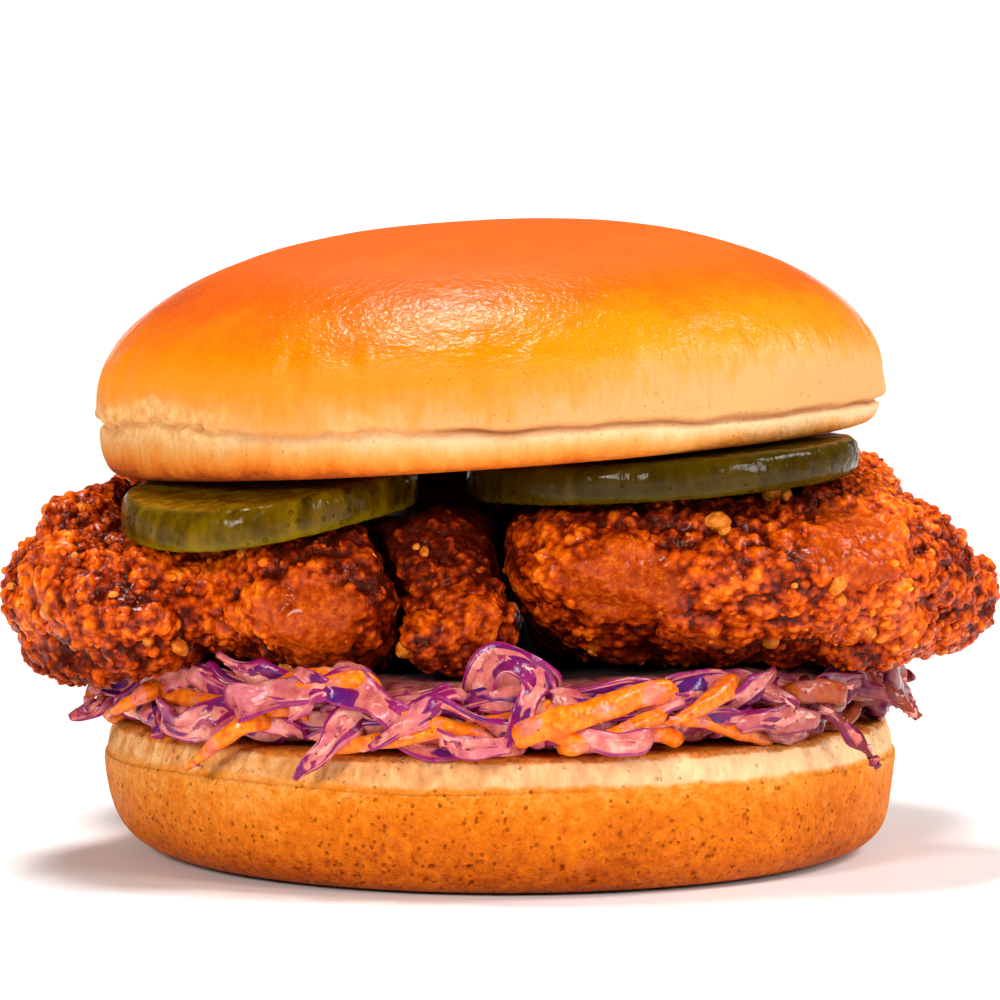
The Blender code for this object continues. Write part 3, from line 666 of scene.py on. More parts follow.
def makePickle(node, finish):
    s = pickles[node]
    angles = np.linspace(0, 2 * np.pi, 360, endpoint=False)
    wobble = 1 + 0.012 * wanders(angles, 1.5, s["centre"][0] * 0.9) + 0.004 * wanders(angles, 9, 3.3)
    face = [(share, 0) for share in np.linspace(0.03, 0.88, 22)]
    section = [(share, -0.5) for share, _ in face] + [tuple(p) for p in curveThrough(pickleRim, 5)]
    section += [(share, 0.5) for share, _ in face[::-1]]
    share, level = (np.array(column)[:, None] for column in zip(*section))
    x = s["centre"][0] + s["half"][0] * share * wobble * np.cos(angles)
    y = s["centre"][1] + s["half"][1] * share * wobble * np.sin(angles)
    cut = crown["underside"] + (x - crown["centreX"]) * crown["cutSlope"] - pickleGap
    towards = math.radians(s["heading"])
    along = (x - s["centre"][0]) * math.cos(towards) + (y - s["centre"][1]) * math.sin(towards)
    top = cut - s["droop"] * np.clip(along / s["half"][1] + 0.15, 0, None) ** 2
    rings = np.stack([x, y, top + (level - 0.5) * s["thick"]], axis=-1) * mm
    rings[..., 2] += heelTop
    normals = ringNormals(rings)
    onRim = ramped(share + 0 * x, 0.90, 0.97)
    streaks = drift(rings * (1, 1, 0.12), 1.6, 81 + s["number"], 2)
    push = onRim * (0.10 * streaks + 0.06 * drift(rings, 0.9, 83))
    push += (1 - onRim) * 0.12 * drift(rings, 3.5, 84, 2)
    rings = rings + normals * ((push - 0.05) * mm)[..., None]
    layers = {"rim": onRim, "streak": streaks, "deep": s["deep"] + 0 * onRim, "low": 0.5 - (level + 0 * x)}
    return ringPiece("pickle" + node.split("_")[1].capitalize(), rings, finish, layers)


def pickleFinish():
    f = Finish("pickle", Specular_IOR_Level=0.09, Specular_Tint=(0.9, 0.95, 1.0, 1), Coat_Weight=0.12,
                            Coat_Roughness=0.04, Coat_IOR=1.4)
    flesh = f.ramp(f.grain(3.0, 3, f.stretched(1, 1, 0.35), 0.6) + f.layer("streak") * 0.12,
                   [(0.25, (42, 28, 0)), (0.48, (86, 62, 0)), (0.7, (120, 90, 0))])
    # painted light: the lower part of the rim is made paler yellow-green
    lower = f.between(f.layer("low") + (f.grain(1.5, 2) - 0.5) * 0.3, 0.62, 0.95)
    colour = f.mix(lower * 0.5, flesh, (134, 116, 2))
    face = f.mix(f.between(f.grain(2.2, 3), 0.35, 0.65), (104, 70, 2), (130, 94, 5))
    colour = f.mix(f.layer("rim"), face, colour)
    dark = f.between(f.grain(3.2, 3, f.stretched(1, 1, 0.16)), 0.58, 0.76)
    colour = f.mix(dark * 0.45, colour, (28, 20, 0))
    colour = f.mix(f.layer("deep"), colour, (46, 34, 0))
    bumped = f.bump(f.grain(4.2, 1), 0.7)
    bumped = f.bump(f.grain(1.0, 2, f.stretched(1, 1, 0.4)), 0.16, bumped)
    specks = f.specks(1.35, 0.10, 0.30, f.grain(3.6, 2), 0.47, 0.55)
    # painted shade: dark rings round the raised wet specks
    rings = f.between(specks, 0.1, 0.5) * f.between(specks, 0.5, 0.9, 1, 0)
    colour = f.mix(rings * 0.3, colour, (34, 24, 0))
    bumped = f.bump(specks, 0.30, bumped)
    return f.done(Base_Color=colour, Roughness=0.06 + f.grain(1.6, 2) * 0.16, Normal=bumped)


# Chicken

chicken = dict(
    voxel=0.44, roughFrom=26, roughAt=40, gap=0.12,
    underCrown=0.75, byMiddle=0.55, lowDown=0.60, rightTip=0.4,  # how much darker the shaded parts are
    # lumps of crust: size and height, and how much of that is left where the skin lies smooth
    lumps=[(4.8, 1.15, 0.50), (2.4, 1.05, 0.36), (1.5, 0.60, 0.50)],
    # smooth skin: middle (height above the heel's cut face) and reach
    smooth=[((-23, -48, 15.5), 8.5), ((15, -47, 20.5), 9.0), ((45, -40, 26.0), 8.0), ((8, 50, 22), 12),
            ((-40, 40, 20), 9), ((52, 22, 20), 9)],
    # golden nuggets on the front: piece, across and above the heel's cut face, and size
    nuggets=[
        ("chicken_right", 27.4, 28.6, 1.5), ("chicken_right", 28.3, 27.4, 1.0),
        ("chicken_right", 35.2, 31.6, 1.4), ("chicken_right", 36.6, 31.2, 1.0),
        ("chicken_right", 42.4, 20.7, 1.3), ("chicken_right", 42.9, 18.9, 0.9),
        ("chicken_right", 34.5, 13.0, 1.1), ("chicken_right", 47.0, 14.2, 1.0),
        ("chicken_left", -57.6, 16.9, 1.3), ("chicken_left", -41.0, 12.4, 1.3),
        ("chicken_left", -44.5, 13.6, 1.0), ("chicken_left", -27.0, 9.9, 1.2),
        ("chicken_middle", -12.9, 14.4, 1.3), ("chicken_middle", -11.8, 12.6, 1.4),
        ("chicken_middle", -14.0, 11.2, 1.1),
    ],
    nuggetSunk=0.08,  # how far their middles stand off the crust, for their size
    # nubs on the crust, in mm, and how many to a square metre where they are densest
    nubSpacing=0.85, nubDensity=450000.0, nubSmallest=0.30, nubLargest=0.90, nubFlatness=0.8, nubUneven=0.5,
)


def roomAt(points, tree):  # how far each point lies outside the solids in a tree
    room = np.empty(len(points))
    for i, point in enumerate(points):
        place, normal, _, distance = tree.find_nearest(point)
        room[i] = distance if (Vector(point) - place).dot(normal) >= 0 else -distance
    return room


def makeChicken(node, number, finish):
    c = chicken
    base = bpy.data.meshes.new(node)
    bm = nodeMesh(node)
    bm.to_mesh(base)
    bm.free()
    holder = bpy.data.objects.new(node + "Base", base)
    holder.modifiers.new("round", "SUBSURF").levels = 2
    even = holder.modifiers.new("even", "REMESH")
    even.mode = "VOXEL"
    even.voxel_size = c["voxel"] * mm
    mesh = evaluated(holder)
    points, normals = readVectors(mesh.vertices, "co"), readVectors(mesh.vertex_normals, "vector")
    axisDistance = np.hypot(points[:, 0], points[:, 1]) / mm
    exposed = ramped(axisDistance, c["roughFrom"], c["roughAt"])
    skin = np.zeros(len(points))
    for middle, reach in c["smooth"]:
        spot = np.array(middle) * mm + (0, 0, heelTop)
        apart = np.linalg.norm((points - spot) * (1, 0.6, 1.25), axis=1) / mm
        skin = np.maximum(skin, 1 - ramped(apart + 2.6 * drift(points, 4, 101, 2), reach * 0.55, reach))
    relief, tallest, tone = np.zeros(len(points)), 0.0, 0.0
    for level, (size, height, left) in enumerate(c["lumps"]):
        near, _, own = pebbles(points, size, 110 + 7 * level + number)
        keep = 1 - (1 - left) * skin
        relief += height * keep * (domes(near, 0.72) * (0.5 + 0.5 * own) - 0.42)
        tallest += height
        if level == 1:
            tone = own
    relief += 0.5 * drift(points, 7, 120 + number, 2)
    room = roomAt(points, nodeTree(*[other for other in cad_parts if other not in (node, "slaw")])) / mm
    shift = np.minimum(relief * exposed, room - c["gap"])
    shift = np.maximum(shift, -1.6)
    points = points + normals * (shift * mm)[:, None]
    mesh.vertices.foreach_set("co", points.ravel())
    tips = ramped(np.abs(points[:, 0]) / mm, 30, 52)
    crusted = np.clip(tips + 0.8 * drift(points, 9, 130 + number, 2), 0, 1)
    beads = exposed * (1 - skin) * (0.25 + 0.75 * crusted)
    beads *= ramped(room, 0.6, 1.6)
    # darker where the crown shades it, round the middle piece and low down, but less at the right tip
    x, high = points[:, 0] / mm, (points[:, 2] - heelTop) / mm
    shade = c["underCrown"] * (1 - ramped(room, 0.5, 7)) * ramped(high, 20, 30)
    shade += c["byMiddle"] * (1 - ramped(np.abs(x + 9), 7, 15)) * ramped(high, 10, 24)
    shade -= c["rightTip"] * ramped(x, 40, 54)
    shade += c["lowDown"] * (1 - ramped(high + 2 * drift(points, 8, 136), 8, 15)) * exposed
    # relief runs from 0 in the crevices to 1 on the lumps; the finish darkens the crevices with it, partly as
    # painted shade
    layers = {"relief": np.clip(relief / tallest + 0.42, 0, 1), "skin": skin, "tone": tone, "beads": beads,
              "shade": np.clip(shade, 0, 1)}
    return stand("fried" + node.split("_")[1].capitalize(), mesh, finish, layers)


def addNuggets(piece, node, surface):  # larger lumps sunk into the crust where it faces the front
    tree = BVHTree.FromObject(surface, bpy.context.evaluated_depsgraph_get())
    bm = bmesh.new()
    bm.from_mesh(piece.data)
    tone = bm.verts.layers.float["tone"]
    for number, (own, x, z, size) in enumerate(chicken["nuggets"]):
        if own != node:
            continue
        place, normal, _, _ = tree.ray_cast(Vector((x * mm, -0.2, z * mm + heelTop)), Vector((0, 1, 0)))
        if place is None:
            continue
        stretch = Matrix.Diagonal((1.15, 0.8, 0.85 + 0.1 * (number % 4), 1))
        turn = normal.to_track_quat("Z", "Y").to_matrix().to_4x4() @ Matrix.Rotation(1.7 * number, 4, "Z")
        middle = Matrix.Translation(place + normal * chicken["nuggetSunk"] * size * mm)
        matrix = middle @ turn @ stretch
        made = bmesh.ops.create_icosphere(bm, subdivisions=3, radius=size * mm, matrix=matrix)
        for vertex in made["verts"]:
            push = noise.noise(vertex.co / (1.6 * mm) + Vector((number, 0, 0)))
            vertex.co += (vertex.co - place).normalized() * push * 0.3 * size * mm
            vertex[tone] = 0.97 + 0.02 * (number % 2)
        for face in {f for v in made["verts"] for f in v.link_faces}:
            face.smooth = True
    bm.to_mesh(piece.data)
    bm.free()
    return piece


def growNubs(piece, node, number, finish):
    c = chicken
    given = {"Spacing": c["nubSpacing"] * mm, "Density": c["nubDensity"], "Smallest": c["nubSmallest"] * mm,
             "Largest": c["nubLargest"] * mm, "Flatness": c["nubFlatness"], "Uneven": c["nubUneven"] * mm,
             "Seed": 7 + number, "Finish": finish}
    return addNuggets(grown(nubTree, piece, piece.name + "Nubs", **given), node, piece)


def friedFinish(name, loose):  # fried crust under a sticky glaze, for the pieces or their loose nubs
    f = Finish(name, Specular_IOR_Level=0.10, Specular_Tint=(1.0, 0.84, 0.64, 1),
                        Coat_Roughness=0.05, Coat_IOR=1.42)
    relief = f.layer("relief") * 0.45 + f.layer("tone") * 0.34 + 0.16 if loose else f.layer("relief")
    patches = f.grain(14, 2)
    fine = f.grain(0.9, 3, rough=0.6)
    beaded = f.cells(1.75, f.wobbled(1.6, 0.5))
    rough = 0.5 if loose else 1 - f.layer("skin") * 0.7
    granules = f.cells(0.95)
    # fried colour plus painted shade and light: glaze pooled in the crevices is darker, painted shade darkens
    # the creases between beads and granules, and their tops are painted lighter
    heat = relief * 0.95 + (fine - 0.5) * 0.46 + (patches - 0.5) * 0.50 + (0.42 - beaded) * rough * 0.60
    heat = heat + (0.40 - granules) * 0.38
    heat = heat - f.layer("shade") * 0.30
    colour = f.ramp(heat, [(0.06, (76, 14, 1)), (0.24, (142, 37, 1)), (0.42, (198, 70, 1)),
                           (0.60, (230, 97, 4)), (0.80, (248, 130, 14)), (1.0, (255, 168, 54))])
    if not loose:
        skinTone = f.ramp(f.grain(1.1, 4, rough=0.7), [(0.30, (128, 34, 1)), (0.48, (168, 56, 3)),
                                                        (0.70, (222, 104, 12))])
        pitted = f.between(f.grain(2.6, 3, rough=0.7), 0.52, 0.60)
        skinTone = f.mix(pitted * 0.45, skinTone, (140, 36, 1))
        colour = f.mix(f.layer("skin") * 0.85, colour, skinTone)
        colour = f.mix(f.layer("shade") * 0.5, colour, (70, 12, 1))
    else:
        golden = f.ramp(f.grain(1.4, 2), [(0.35, (206, 92, 12)), (0.65, (246, 156, 50))])
        colour = f.mix(f.between(f.layer("tone"), 0.955, 0.975) * 0.85, colour, golden)
    cloud = f.grain(5, 2)
    pepper = f.specks(1.9, 0.09, 0.15, cloud, 0.45, 0.6)
    colour = f.mix(pepper * 0.85, colour, (34, 14, 6))
    wet = f.between(cloud, 0.35, 0.6)
    dim = f.between(f.layer("shade"), 0.1, 0.7)
    bumped = f.bump(beaded * rough, -0.5)
    bumped = f.bump(granules, -0.26, bumped)
    bumped = f.bump(f.grain(0.6, 2, rough=0.6), 0.22, bumped)
    return f.done(Base_Color=colour, Roughness=0.26 - wet * 0.14 + dim * 0.3,
                  Coat_Weight=(0.04 + wet * 0.26) * (1 - dim), Normal=bumped)


# Slaw

slaw = dict(
    radius=49.5, foot=0.35, top=8.8, root=47.0, sides=26, sideHeadings=(84, 276), seed=11, fillers=170,
    ripple=0.30, clearance=0.12, movedWithin=1.8,  # strips near the solids are moved clear of them
    darkFrom=(22, 58), darkTo=(95, 140),  # headings between which painted shade darkens the slaw, on the right
)
stripKinds = {
    "cabbage": dict(thick=1.1, steps=9, cup=0.32, wave=0.50),
    "carrot": dict(thick=2.0, steps=7, cup=0.05, wave=0.15),
}
# strips that show at the front: kind, whether both ends are tucked in, width in mm, lean in degrees, and
# points as heading from the front in degrees, distance from the axis, height above the heel's cut face
frontStrips = [
    ("cabbage", False, 4.2, 20, [(-74, 50, 4.2), (-73, 55, 2.7), (-75, 58.5, 0.7)]),
    ("cabbage", False, 3.0, -20, [(-63, 51, 6.2), (-69, 54, 5.2), (-74, 56, 4.7)]),
    ("carrot", False, 2.4, 0, [(-56, 53, 6.2), (-57, 56, 4.7), (-62, 57, 2.7)]),
    ("cabbage", False, 3.2, 30, [(-61, 52, 4.2), (-54, 54.5, 2.2), (-52, 55.5, 0.2)]),
    ("cabbage", True, 4.4, 10, [(-40, 52, 5.2), (-45, 56, 2.2), (-51, 55, 3.7)]),
    ("carrot", False, 2.6, 0, [(-35, 54, 3.7), (-39, 56, 1.2), (-44, 57, -2.8)]),
    ("cabbage", False, 4.6, 25, [(-32, 50, 8.2), (-37, 52, 9.2), (-42, 53.5, 11.7)]),
    ("cabbage", True, 4.8, -15, [(-29, 52, 7.2), (-32, 54, 6.7), (-37, 55, 5.7)]),
    ("cabbage", False, 4.4, 15, [(-20, 52, 5.2), (-23, 55.5, 1.2), (-27, 56.5, -2.8)]),
    ("cabbage", False, 4.4, -25, [(-21, 51, 8.7), (-26, 53.5, 8.0), (-29, 55, 3.7)]),
    ("cabbage", True, 4.6, 20, [(-24, 50, 9.2), (-18, 53, 7.2), (-13, 54, 4.7)]),
    ("cabbage", False, 4.0, -10, [(-8, 52, 7.2), (-12, 54.5, 4.7), (-17, 55.5, 1.2)]),
    ("cabbage", True, 5.2, 35, [(-3, 50, 9.2), (1, 52, 12.2), (6, 51, 9.0)]),
    ("cabbage", False, 4.2, 0, [(5, 51, 9.2), (3, 54, 5.7), (1, 55, 1.7)]),
    ("carrot", True, 3.6, 0, [(23, 52, 7.7), (13, 54, 6.2), (3, 55, 3.2)]),
    ("carrot", False, 2.8, 0, [(34, 52, 8.2), (28, 54.5, 6.2), (22, 55.5, 4.2)]),
    ("cabbage", True, 3.6, 0, [(35, 53.5, 3.5), (41, 54.8, 3.5), (47, 55, 3.0)]),
    ("cabbage", False, 2.6, 10, [(50, 53.5, 4.2), (53, 56.5, 0.7), (57, 58, -3.8)]),
    ("carrot", False, 2.6, 0, [(69, 51, 5.2), (69, 55, 4.2), (71, 58, 1.2)]),
    ("carrot", True, 3.2, 0, [(45, 52, 6.5), (49, 54, 6.5), (53, 54.5, 5.7)]),
    ("cabbage", False, 3.0, -20, [(59, 51, 7.2), (63, 54, 5.7), (66, 56.5, 3.2)]),
    ("cabbage", True, 3.2, 15, [(10, 53, 3.1), (15, 55.2, 1.9), (20, 54.3, 2.3)]),
    ("cabbage", True, 2.8, -15, [(-8, 53.5, 2.7), (-4, 55.2, 1.7), (1, 54.5, 2.1)]),
    ("cabbage", True, 5.0, 20, [(-4, 49.5, 6.8), (1, 51.3, 8.4), (7, 50, 6.6)]),
    ("cabbage", True, 4.4, -10, [(8, 50, 6.2), (14, 52, 7.6), (21, 51, 7.0)]),
    ("cabbage", True, 4.4, 15, [(26, 50, 7.4), (32, 52.2, 8.6), (38, 51, 7.0)]),
    ("cabbage", False, 4.0, 25, [(36, 51, 8.0), (41, 53.4, 6.6), (44, 54.6, 5.2)]),
]


def sideStrips():  # strips round the sides and back, with their sizes drawn as the solid's are
    draw = random.Random(slaw["seed"])
    strips = []
    first, last = slaw["sideHeadings"]
    for i in range(slaw["sides"]):
        heading = first + (last - first) * (i + 0.5) / slaw["sides"] + draw.uniform(-2, 2)
        turn = draw.choice((-1, 1)) * draw.uniform(2, 8)
        kind = "carrot" if i % 4 == 1 else "cabbage"
        width = draw.uniform(2.2, 2.9) if kind == "carrot" else draw.uniform(3.2, 4.6)
        high = draw.uniform(4.2, 7.6)
        drop = draw.uniform(0.5, 6.5)
        end = draw.uniform(54.8, 57.2)
        points = [(heading, 51.5, high), (heading + turn * 0.6, 54.4, high - 0.35 * drop),
                  (heading + turn, end, high - drop)]
        strips.append((kind, False, width, draw.uniform(-35, 35), points))
    return strips


def fillerStrips():  # short strips packed between the ones that the solid has
    draw = random.Random(5)
    strips = []
    for i in range(slaw["fillers"]):
        heading = 360 * (i + draw.random()) / slaw["fillers"] - 180
        kind = "carrot" if draw.random() < 0.22 else "cabbage"
        width = draw.uniform(1.7, 2.6) if kind == "carrot" else draw.uniform(2.2, 4.4)
        spread = draw.choice((-1, 1)) * draw.uniform(3, 9)
        high = draw.uniform(1.6, 8.2)
        reach = draw.uniform(50.3, 53.6)
        tilt = draw.uniform(-2.2, 2.2)
        points = [(heading - spread, reach - draw.uniform(0.5, 2), high + tilt), (heading, reach, high),
                  (heading + spread, reach - draw.uniform(0.5, 2), high - tilt)]
        strips.append((kind, True, width, draw.uniform(-50, 50), points))
    return strips


def onBurger(heading, distance, height):
    angle = math.radians(heading)
    return np.array((distance * math.sin(angle), -distance * math.cos(angle), height)) * mm + (0, 0, heelTop)


def ribbon(kind, tucked, width, lean, points, number):  # a strip's rows of points, and what lies where on it
    k = stripKinds[kind]
    draw = random.Random(900 + number)

    def root(point):
        return onBurger(point[0], slaw["root"], min(max(point[2] - 1.5, 1.8), 4.6))

    route = [root(points[0])] + [onBurger(*point) for point in points]
    if tucked:
        route.append(root(points[-1]))
    route = curveThrough(route, k["steps"])
    share = np.linspace(0, 1, len(route))
    along = np.gradient(route, axis=0)
    along /= np.linalg.norm(along, axis=1, keepdims=True)
    outward = route * (1, 1, 0)
    outward /= np.linalg.norm(outward, axis=1, keepdims=True)
    outward -= along * np.sum(outward * along, axis=1, keepdims=True)
    outward /= np.linalg.norm(outward, axis=1, keepdims=True)
    upright = np.cross(along, outward)
    angle = np.radians(lean + draw.uniform(-1, 1) * 30 * (share - 0.5))[:, None]
    broad = upright * np.cos(angle) + outward * np.sin(angle)
    thin = outward * np.cos(angle) - upright * np.sin(angle)
    size = np.full(len(route), 0.92) if tucked else 1.0 - 0.80 * (np.clip(share - 0.45, 0, 1) / 0.55) ** 1.3
    swing = 0.07 if kind == "carrot" else 0.20
    half = width / 2 * size * (1 + swing * np.sin(share * draw.uniform(8, 16) + draw.uniform(0, 6)))
    turn = np.linspace(0, 2 * np.pi, 16, endpoint=False)
    across = np.sign(np.cos(turn)) * np.abs(np.cos(turn)) ** 0.6
    deep = np.sign(np.sin(turn)) * np.abs(np.sin(turn)) ** (0.75 if kind == "carrot" else 0.9)
    cup = k["cup"] * draw.choice((-1, 1)) * draw.uniform(0.4, 1.2)
    bend = cup * half[:, None] * (across[None] ** 2 - 0.4)
    wave = k["wave"] * np.sin(share * draw.uniform(10, 22) + draw.uniform(0, 6))[:, None] * across[None]
    thickness = k["thick"] / 2 * (0.6 + 0.4 * size)
    offset = thickness[:, None] * deep[None] + bend + wave
    side = half[:, None] * across[None]
    rows = route[:, None] + (broad[:, None] * side[..., None] + thin[:, None] * offset[..., None]) * mm
    edge = np.abs(across)[None] ** 4 * np.ones_like(offset)
    ends = 1 - ramped(np.minimum(share, 1 - share if not tucked else 1), 0.0, 0.05)[:, None]
    length = np.concatenate([[0], np.cumsum(np.linalg.norm(np.diff(route, axis=0), axis=1))])[:, None] / mm
    along = length * np.ones_like(offset) + 50 * draw.random()
    return rows, {"edge": np.maximum(edge, ends * (not tucked)), "tone": np.full(offset.shape, draw.random()),
                  "along": along, "across": side + 9 * deep[None]}


def clearOf(points, tree):  # points moved out of the solids in a tree
    gap = slaw["clearance"] * mm
    for i, point in enumerate(points):
        place, normal, _, distance = tree.find_nearest(point)
        if (Vector(point) - place).dot(normal) < gap and distance < slaw["movedWithin"] * mm:
            points[i] = place + normal * gap
    return points


def makeStrips(kind, strips, finish, name):
    vertices, faces, start = [], [], 0
    layers = {"edge": [], "tone": [], "along": [], "across": []}
    for number, (own, tucked, width, lean, points) in enumerate(strips):
        if own != kind:
            continue
        rows, values = ribbon(own, tucked, width, lean, points, number)
        levels, around = rows.shape[:2]
        vertices.append(rows.reshape(-1, 3))
        for layer in layers:
            layers[layer].append(values[layer].reshape(-1))
        faces += tube(levels, around, start)
        faces.append(tuple(start + i for i in range(around))[::-1])
        faces.append(tuple(start + (levels - 1) * around + i for i in range(around)))
        start += levels * around
    vertices = np.vstack(vertices)
    vertices += slaw["ripple"] * mm * np.stack([drift(vertices, 2.6, 140 + k) for k in range(3)], axis=-1)
    outside = np.hypot(vertices[:, 0], vertices[:, 1]) > 46 * mm
    vertices[outside] = clearOf(vertices[outside], solidTree)
    heading = headingOf(np.arctan2(vertices[:, 1], vertices[:, 0]))
    full = {layer: np.concatenate(values) for layer, values in layers.items()}
    # painted shade on the right side
    full["dusk"] = ramped(heading, *slaw["darkFrom"]) * (1 - ramped(heading, *slaw["darkTo"]))
    return addPiece(name, vertices, faces, finish, full)


def makeSlawCore(finish):
    section = curveThrough([(30, 0.0), (38, 0.0), (46.5, 0.0), (49.3, 0.16), (50.6, 0.42), (50.0, 0.72),
                            (47.5, 0.93), (42, 1.0), (36, 1.0), (24, 0.98)], 5)
    height = slaw["top"] - slaw["foot"]
    angles = np.linspace(0, 2 * np.pi, 360, endpoint=False)
    rings = []
    for radius, level in section:
        edge = ramped(radius, 38, 50)
        reach = radius * slaw["radius"] / 50 + 1.5 * edge * wanders(angles, 3.1, 2 + level) - 0.6 * edge
        lift = height * level - 0.7 * level * np.abs(wanders(angles, 2.7, 9.1 + radius / 9))
        z = slaw["foot"] + np.maximum(lift, 0)
        rings.append(np.stack([reach * np.cos(angles), reach * np.sin(angles), z], axis=-1))
    rings = np.array(rings) * mm + (0, 0, heelTop)
    normals = ringNormals(rings)
    edge = ramped(section[:, 0], 40, 48)[:, None]
    near, _, _ = pebbles(rings, 5.0, 150)
    lumps = 1.1 * (domes(near, 0.75) - 0.6) + 0.4 * drift(rings, 2.4, 151, 2)
    return ringPiece("slawBed", rings + normals * (lumps * edge * mm)[..., None], finish, {})


sauce = dict(voxel=0.62, swell=0.85, back=1.04, uneven=0.34)


def makeSauce(finish, parts):  # dressing run together: the strips swollen, fused and drawn back in
    s = sauce
    bm = bmesh.new()
    for part in parts:
        bm.from_mesh(part.data)
    joined = bpy.data.meshes.new("joined")
    bm.to_mesh(joined)
    bm.free()
    holder = bpy.data.objects.new("joined", joined)
    swell = holder.modifiers.new("swell", "DISPLACE")
    swell.mid_level = 0
    swell.strength = s["swell"] * mm
    fuse = holder.modifiers.new("fuse", "REMESH")
    fuse.mode = "VOXEL"
    fuse.voxel_size = s["voxel"] * mm
    soften = holder.modifiers.new("soften", "SMOOTH")
    soften.iterations = 4
    mesh = evaluated(holder)
    points, normals = readVectors(mesh.vertices, "co"), readVectors(mesh.vertex_normals, "vector")
    back = s["back"] + s["uneven"] * drift(points, 4.5, 160, 2)
    points = points - normals * (back * mm)[:, None]
    mesh.vertices.foreach_set("co", points.ravel())
    # 1 deep inside the slaw, where the finish paints shade
    inside = 1 - ramped(np.hypot(points[:, 0], points[:, 1]) / mm, 38, 45)
    return stand("slawDressing", mesh, finish, {"inside": inside})


def sauceFinish():  # pink dressing stained by the cabbage, with painted shade where it lies deep inside, between the layers
    f = Finish("dressing", Specular_IOR_Level=0.28, Specular_Tint=(1.0, 0.9, 0.9, 1))
    colour = f.ramp(f.grain(3.0, 3, rough=0.55), [(0.30, (186, 80, 80)), (0.5, (222, 122, 110)),
                                                  (0.70, (246, 172, 152))])
    stain = f.between(f.grain(3.6, 3, warp=0.8), 0.54, 0.60)
    colour = f.mix(stain * 0.8, colour, (136, 14, 84))
    pepper = f.specks(1.2, 0.09, 0.17, f.grain(5, 1), 0.38, 0.50)
    colour = f.mix(pepper * 0.85, colour, (60, 18, 30))
    inside = f.layer("inside")
    # painted shade deep inside
    colour = f.mix(inside, colour, (26, 5, 4))
    bumped = f.bump(f.grain(2.2, 3, rough=0.55), 0.55)
    return f.done(Base_Color=colour, Roughness=0.18 + inside * 0.8, Normal=bumped)


def slawFinish(name, kind):
    f = Finish(name, Specular_IOR_Level=0.22, Specular_Tint=(1.0, 0.9, 0.9, 1),
                        Coat_Weight=0.22, Coat_Roughness=0.05, Coat_IOR=1.42)
    dressing = f.ramp(f.grain(2.2, 3, rough=0.55), [(0.30, (180, 76, 76)), (0.5, (216, 118, 106)),
                                                    (0.70, (242, 172, 154))])
    if kind == "carrot":
        bare = f.ramp(f.grain(1.0, 3, rough=0.6),
                      [(0.3, (226, 82, 4)), (0.5, (246, 118, 10)), (0.75, (255, 154, 44))])
        cover = f.between(f.grain(3.4, 2), 0.54, 0.64)
        colour = f.mix(cover * 0.75, bare, dressing)
        pepperTone = (90, 20, 20)
    else:
        leaf = f.ramp(f.grain(2.6, 2) + (f.layer("tone") - 0.5) * 0.5,
                      [(0.30, (146, 6, 92)), (0.55, (108, 4, 84)), (0.80, (66, 18, 108))])
        values = {"X": f.layer("along") * 0.36 * mm, "Y": f.layer("across") * mm, "Z": f.layer("tone") * 0.05}
        onLeaf = f.node("ShaderNodeCombineXYZ", None, values)
        bare = f.between(f.grain(3.0, 1.6, onLeaf, 0.5) + (f.layer("tone") - 0.5) * 0.16, 0.54, 0.57)
        line = f.between(f.layer("edge"), 0.30, 0.55) * f.between(f.grain(4.0, 2), 0.38, 0.50)
        thinned = f.between(f.grain(2.4, 3, onLeaf, 0.5), 0.46, 0.62) * 0.4
        colour = f.mix(thinned, dressing, (186, 80, 124))
        colour = f.mix(bare * 0.96, colour, leaf)
        colour = f.mix(line * 0.9, colour, (142, 10, 96))
        pepperTone = (60, 20, 40)
    pepper = f.specks(1.2, 0.08, 0.16, f.grain(5, 1), 0.40, 0.52)
    colour = f.mix(pepper * 0.85, colour, pepperTone)
    # painted shade on the right side
    colour = f.mix(f.layer("dusk") * 0.8, colour, (96, 20, 36))
    bumped = f.bump(f.grain(2.2, 2, rough=0.55), 0.50)
    return f.done(Base_Color=colour, Roughness=0.10 + f.grain(2, 2) * 0.16, Normal=bumped)


# The burger

print("bun")
crust = crustFinish()
bunCrown = makeCrown(crust)
bunHeel = makeHeel(heelFinish())
print("pickles")
pickleSkin = pickleFinish()
slices = {node: makePickle(node, pickleSkin) for node in pickles}
print("chicken")
nubTree = nubRecipe()
fried, friedNubs = friedFinish("fried crust", False), friedFinish("fried nubs", True)
chickenPieces = {}
for number, node in enumerate(("chicken_left", "chicken_middle", "chicken_right")):
    piece = makeChicken(node, number, fried)
    chickenPieces[node] = (piece, growNubs(piece, node, number, friedNubs))
print("slaw")
solidTree = nodeTree("chicken_left", "chicken_middle", "chicken_right", "bun_heel")
strips = frontStrips + sideStrips() + fillerStrips()
slawPieces = [makeStrips(kind, strips, slawFinish("dressed " + kind, kind), kind + "Strips")
              for kind in stripKinds]
bed = makeSlawCore(slawPieces[0].active_material)
slawPieces.append(makeSauce(sauceFinish(), slawPieces + [bed]))
bpy.data.objects.remove(bed)

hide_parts("bun_crown")
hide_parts("bun_heel")
for node, piece in slices.items():
    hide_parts(node)
for node, pieces in chickenPieces.items():
    for piece in pieces:
        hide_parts(node)
for piece in slawPieces:
    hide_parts("slaw")
burgerPieces = [bunCrown, bunHeel, *slices.values(), *itertools.chain(*chickenPieces.values()), *slawPieces]
for piece in burgerPieces:
    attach(piece, "root")
    print(piece.name, sum(len(p.vertices) - 2 for p in piece.data.polygons), "triangles")


# Floor, camera and light, in metres

print("stage")
scene = bpy.context.scene
scene.view_settings.view_transform = "Standard"
scene.view_settings.look = "None"


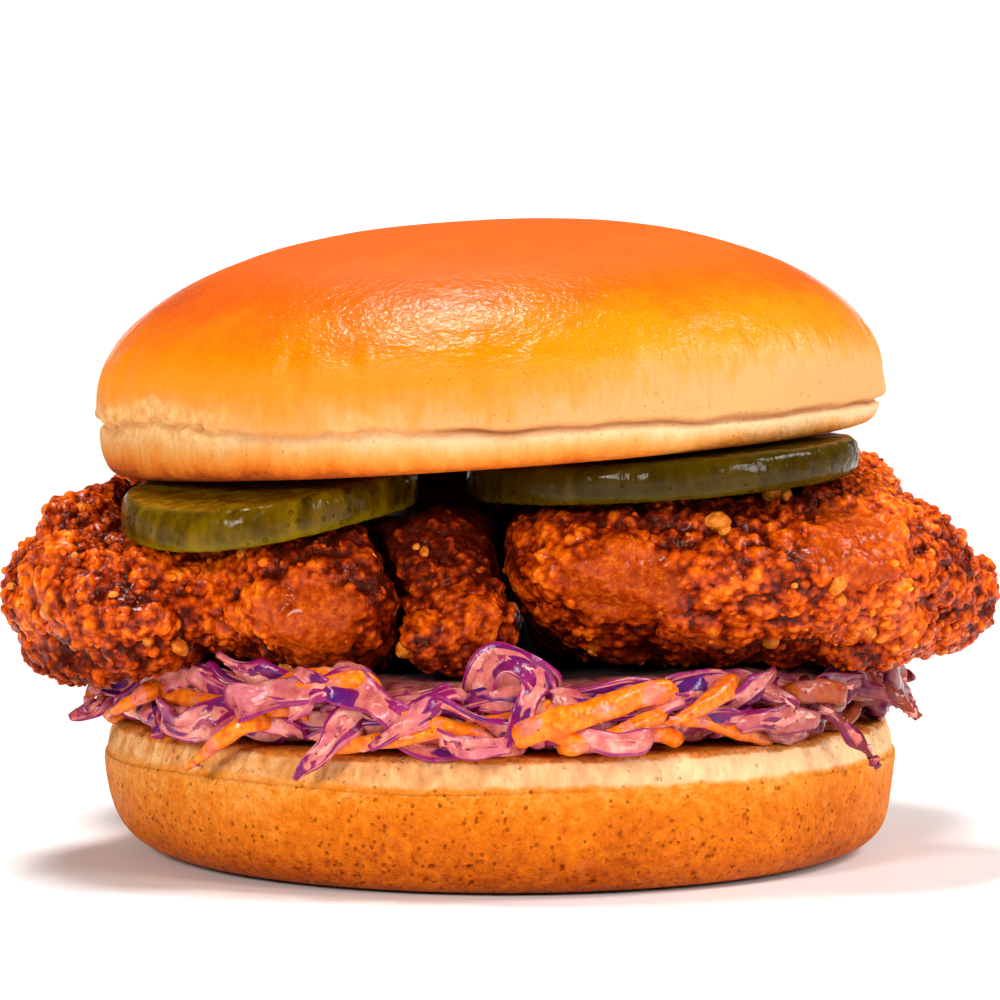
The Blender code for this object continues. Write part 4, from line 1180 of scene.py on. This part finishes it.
def makeBackdrop():  # a floor that runs back and curves up into a wall
    profile = [(-1.6, 0.0, 2.2), (0.2, 0.0, 2.2), (0.83, 0.0, 0.4)]
    turns = np.linspace(0.1, math.pi / 2, 14)
    profile += [(0.83 + 0.12 * math.sin(t), 0.12 - 0.12 * math.cos(t), 0.4) for t in turns]
    profile.append((0.95, 0.17, 0.4))
    vertices = [(side * half, y, z) for y, z, half in profile for side in (-1, 1)]
    faces = [(2 * i, 2 * i + 1, 2 * i + 3, 2 * i + 2) for i in range(len(profile) - 1)]
    paper = Finish("pale floor", Roughness=0.7)
    return addPiece("backdrop", vertices, faces, paper.done(Base_Color=rgb(250, 249, 248)))


def addLight(name, place, target, size, power, colour=(1, 1, 1)):
    light = bpy.data.lights.new(name, "AREA")
    light.shape = "RECTANGLE"
    light.size, light.size_y = size
    light.energy = power
    light.color = colour
    holder = bpy.data.objects.new(name, light)
    holder.location = place
    holder.rotation_euler = (Vector(target) - Vector(place)).to_track_quat("-Z", "Y").to_euler()
    scene.collection.objects.link(holder)


makeBackdrop()
lights = [
    ("overhead", (-0.11, 0.06, 0.75), (0, 0, 0.05), (0.27, 0.17), 5.2, (1, 1, 1)),
    ("key", (-0.50, -0.80, 0.42), (0, 0, 0.045), (0.22, 0.26), 5.8, (1, 0.98, 0.95)),
    ("fill", (0.70, -0.62, 0.36), (0, 0, 0.045), (0.24, 0.30), 4.3, (1, 0.99, 0.98)),
    ("side", (0.62, -0.06, 0.58), (0, 0, 0.06), (0.26, 0.26), 3.8, (1, 1, 1)),
    ("wallLight", (0, 0.45, 0.55), (0, 0.95, 0.04), (1.1, 0.12), 3.4, (1, 1, 1)),
]
for spec in lights:
    addLight(*spec)
world = bpy.data.worlds.new("studio")
world.use_nodes = True
# pale at the horizon, dim above
ambient = {"From Min": 0.03, "From Max": 0.18, "To Min": 0.48, "To Max": 0.07}
worldNodes, worldLinks = world.node_tree.nodes, world.node_tree.links
direction = worldNodes.new("ShaderNodeTexCoord").outputs["Generated"]
height = worldNodes.new("ShaderNodeSeparateXYZ")
worldLinks.new(direction, height.inputs[0])
fade = worldNodes.new("ShaderNodeMapRange")
for name, value in ambient.items():
    fade.inputs[name].default_value = value
worldLinks.new(height.outputs["Z"], fade.inputs["Value"])
worldNodes["Background"].inputs["Color"].default_value = (1, 1, 1, 1)
worldLinks.new(fade.outputs["Result"], worldNodes["Background"].inputs["Strength"])
scene.world = world

shot = dict(distance=0.680, rise=4.0, height=0.0464, lens=182.4)
rise = math.radians(shot["rise"])
cameraData = bpy.data.cameras.new("camera")
cameraData.lens, cameraData.sensor_width = shot["lens"], 36
cameraData.clip_start = 0.01
camera = bpy.data.objects.new("camera", cameraData)
camera.location = (0, -shot["distance"] * math.cos(rise), shot["height"] + shot["distance"] * math.sin(rise))
camera.rotation_euler = (math.pi / 2 - rise, 0, 0)
scene.collection.objects.link(camera)
scene.camera = camera
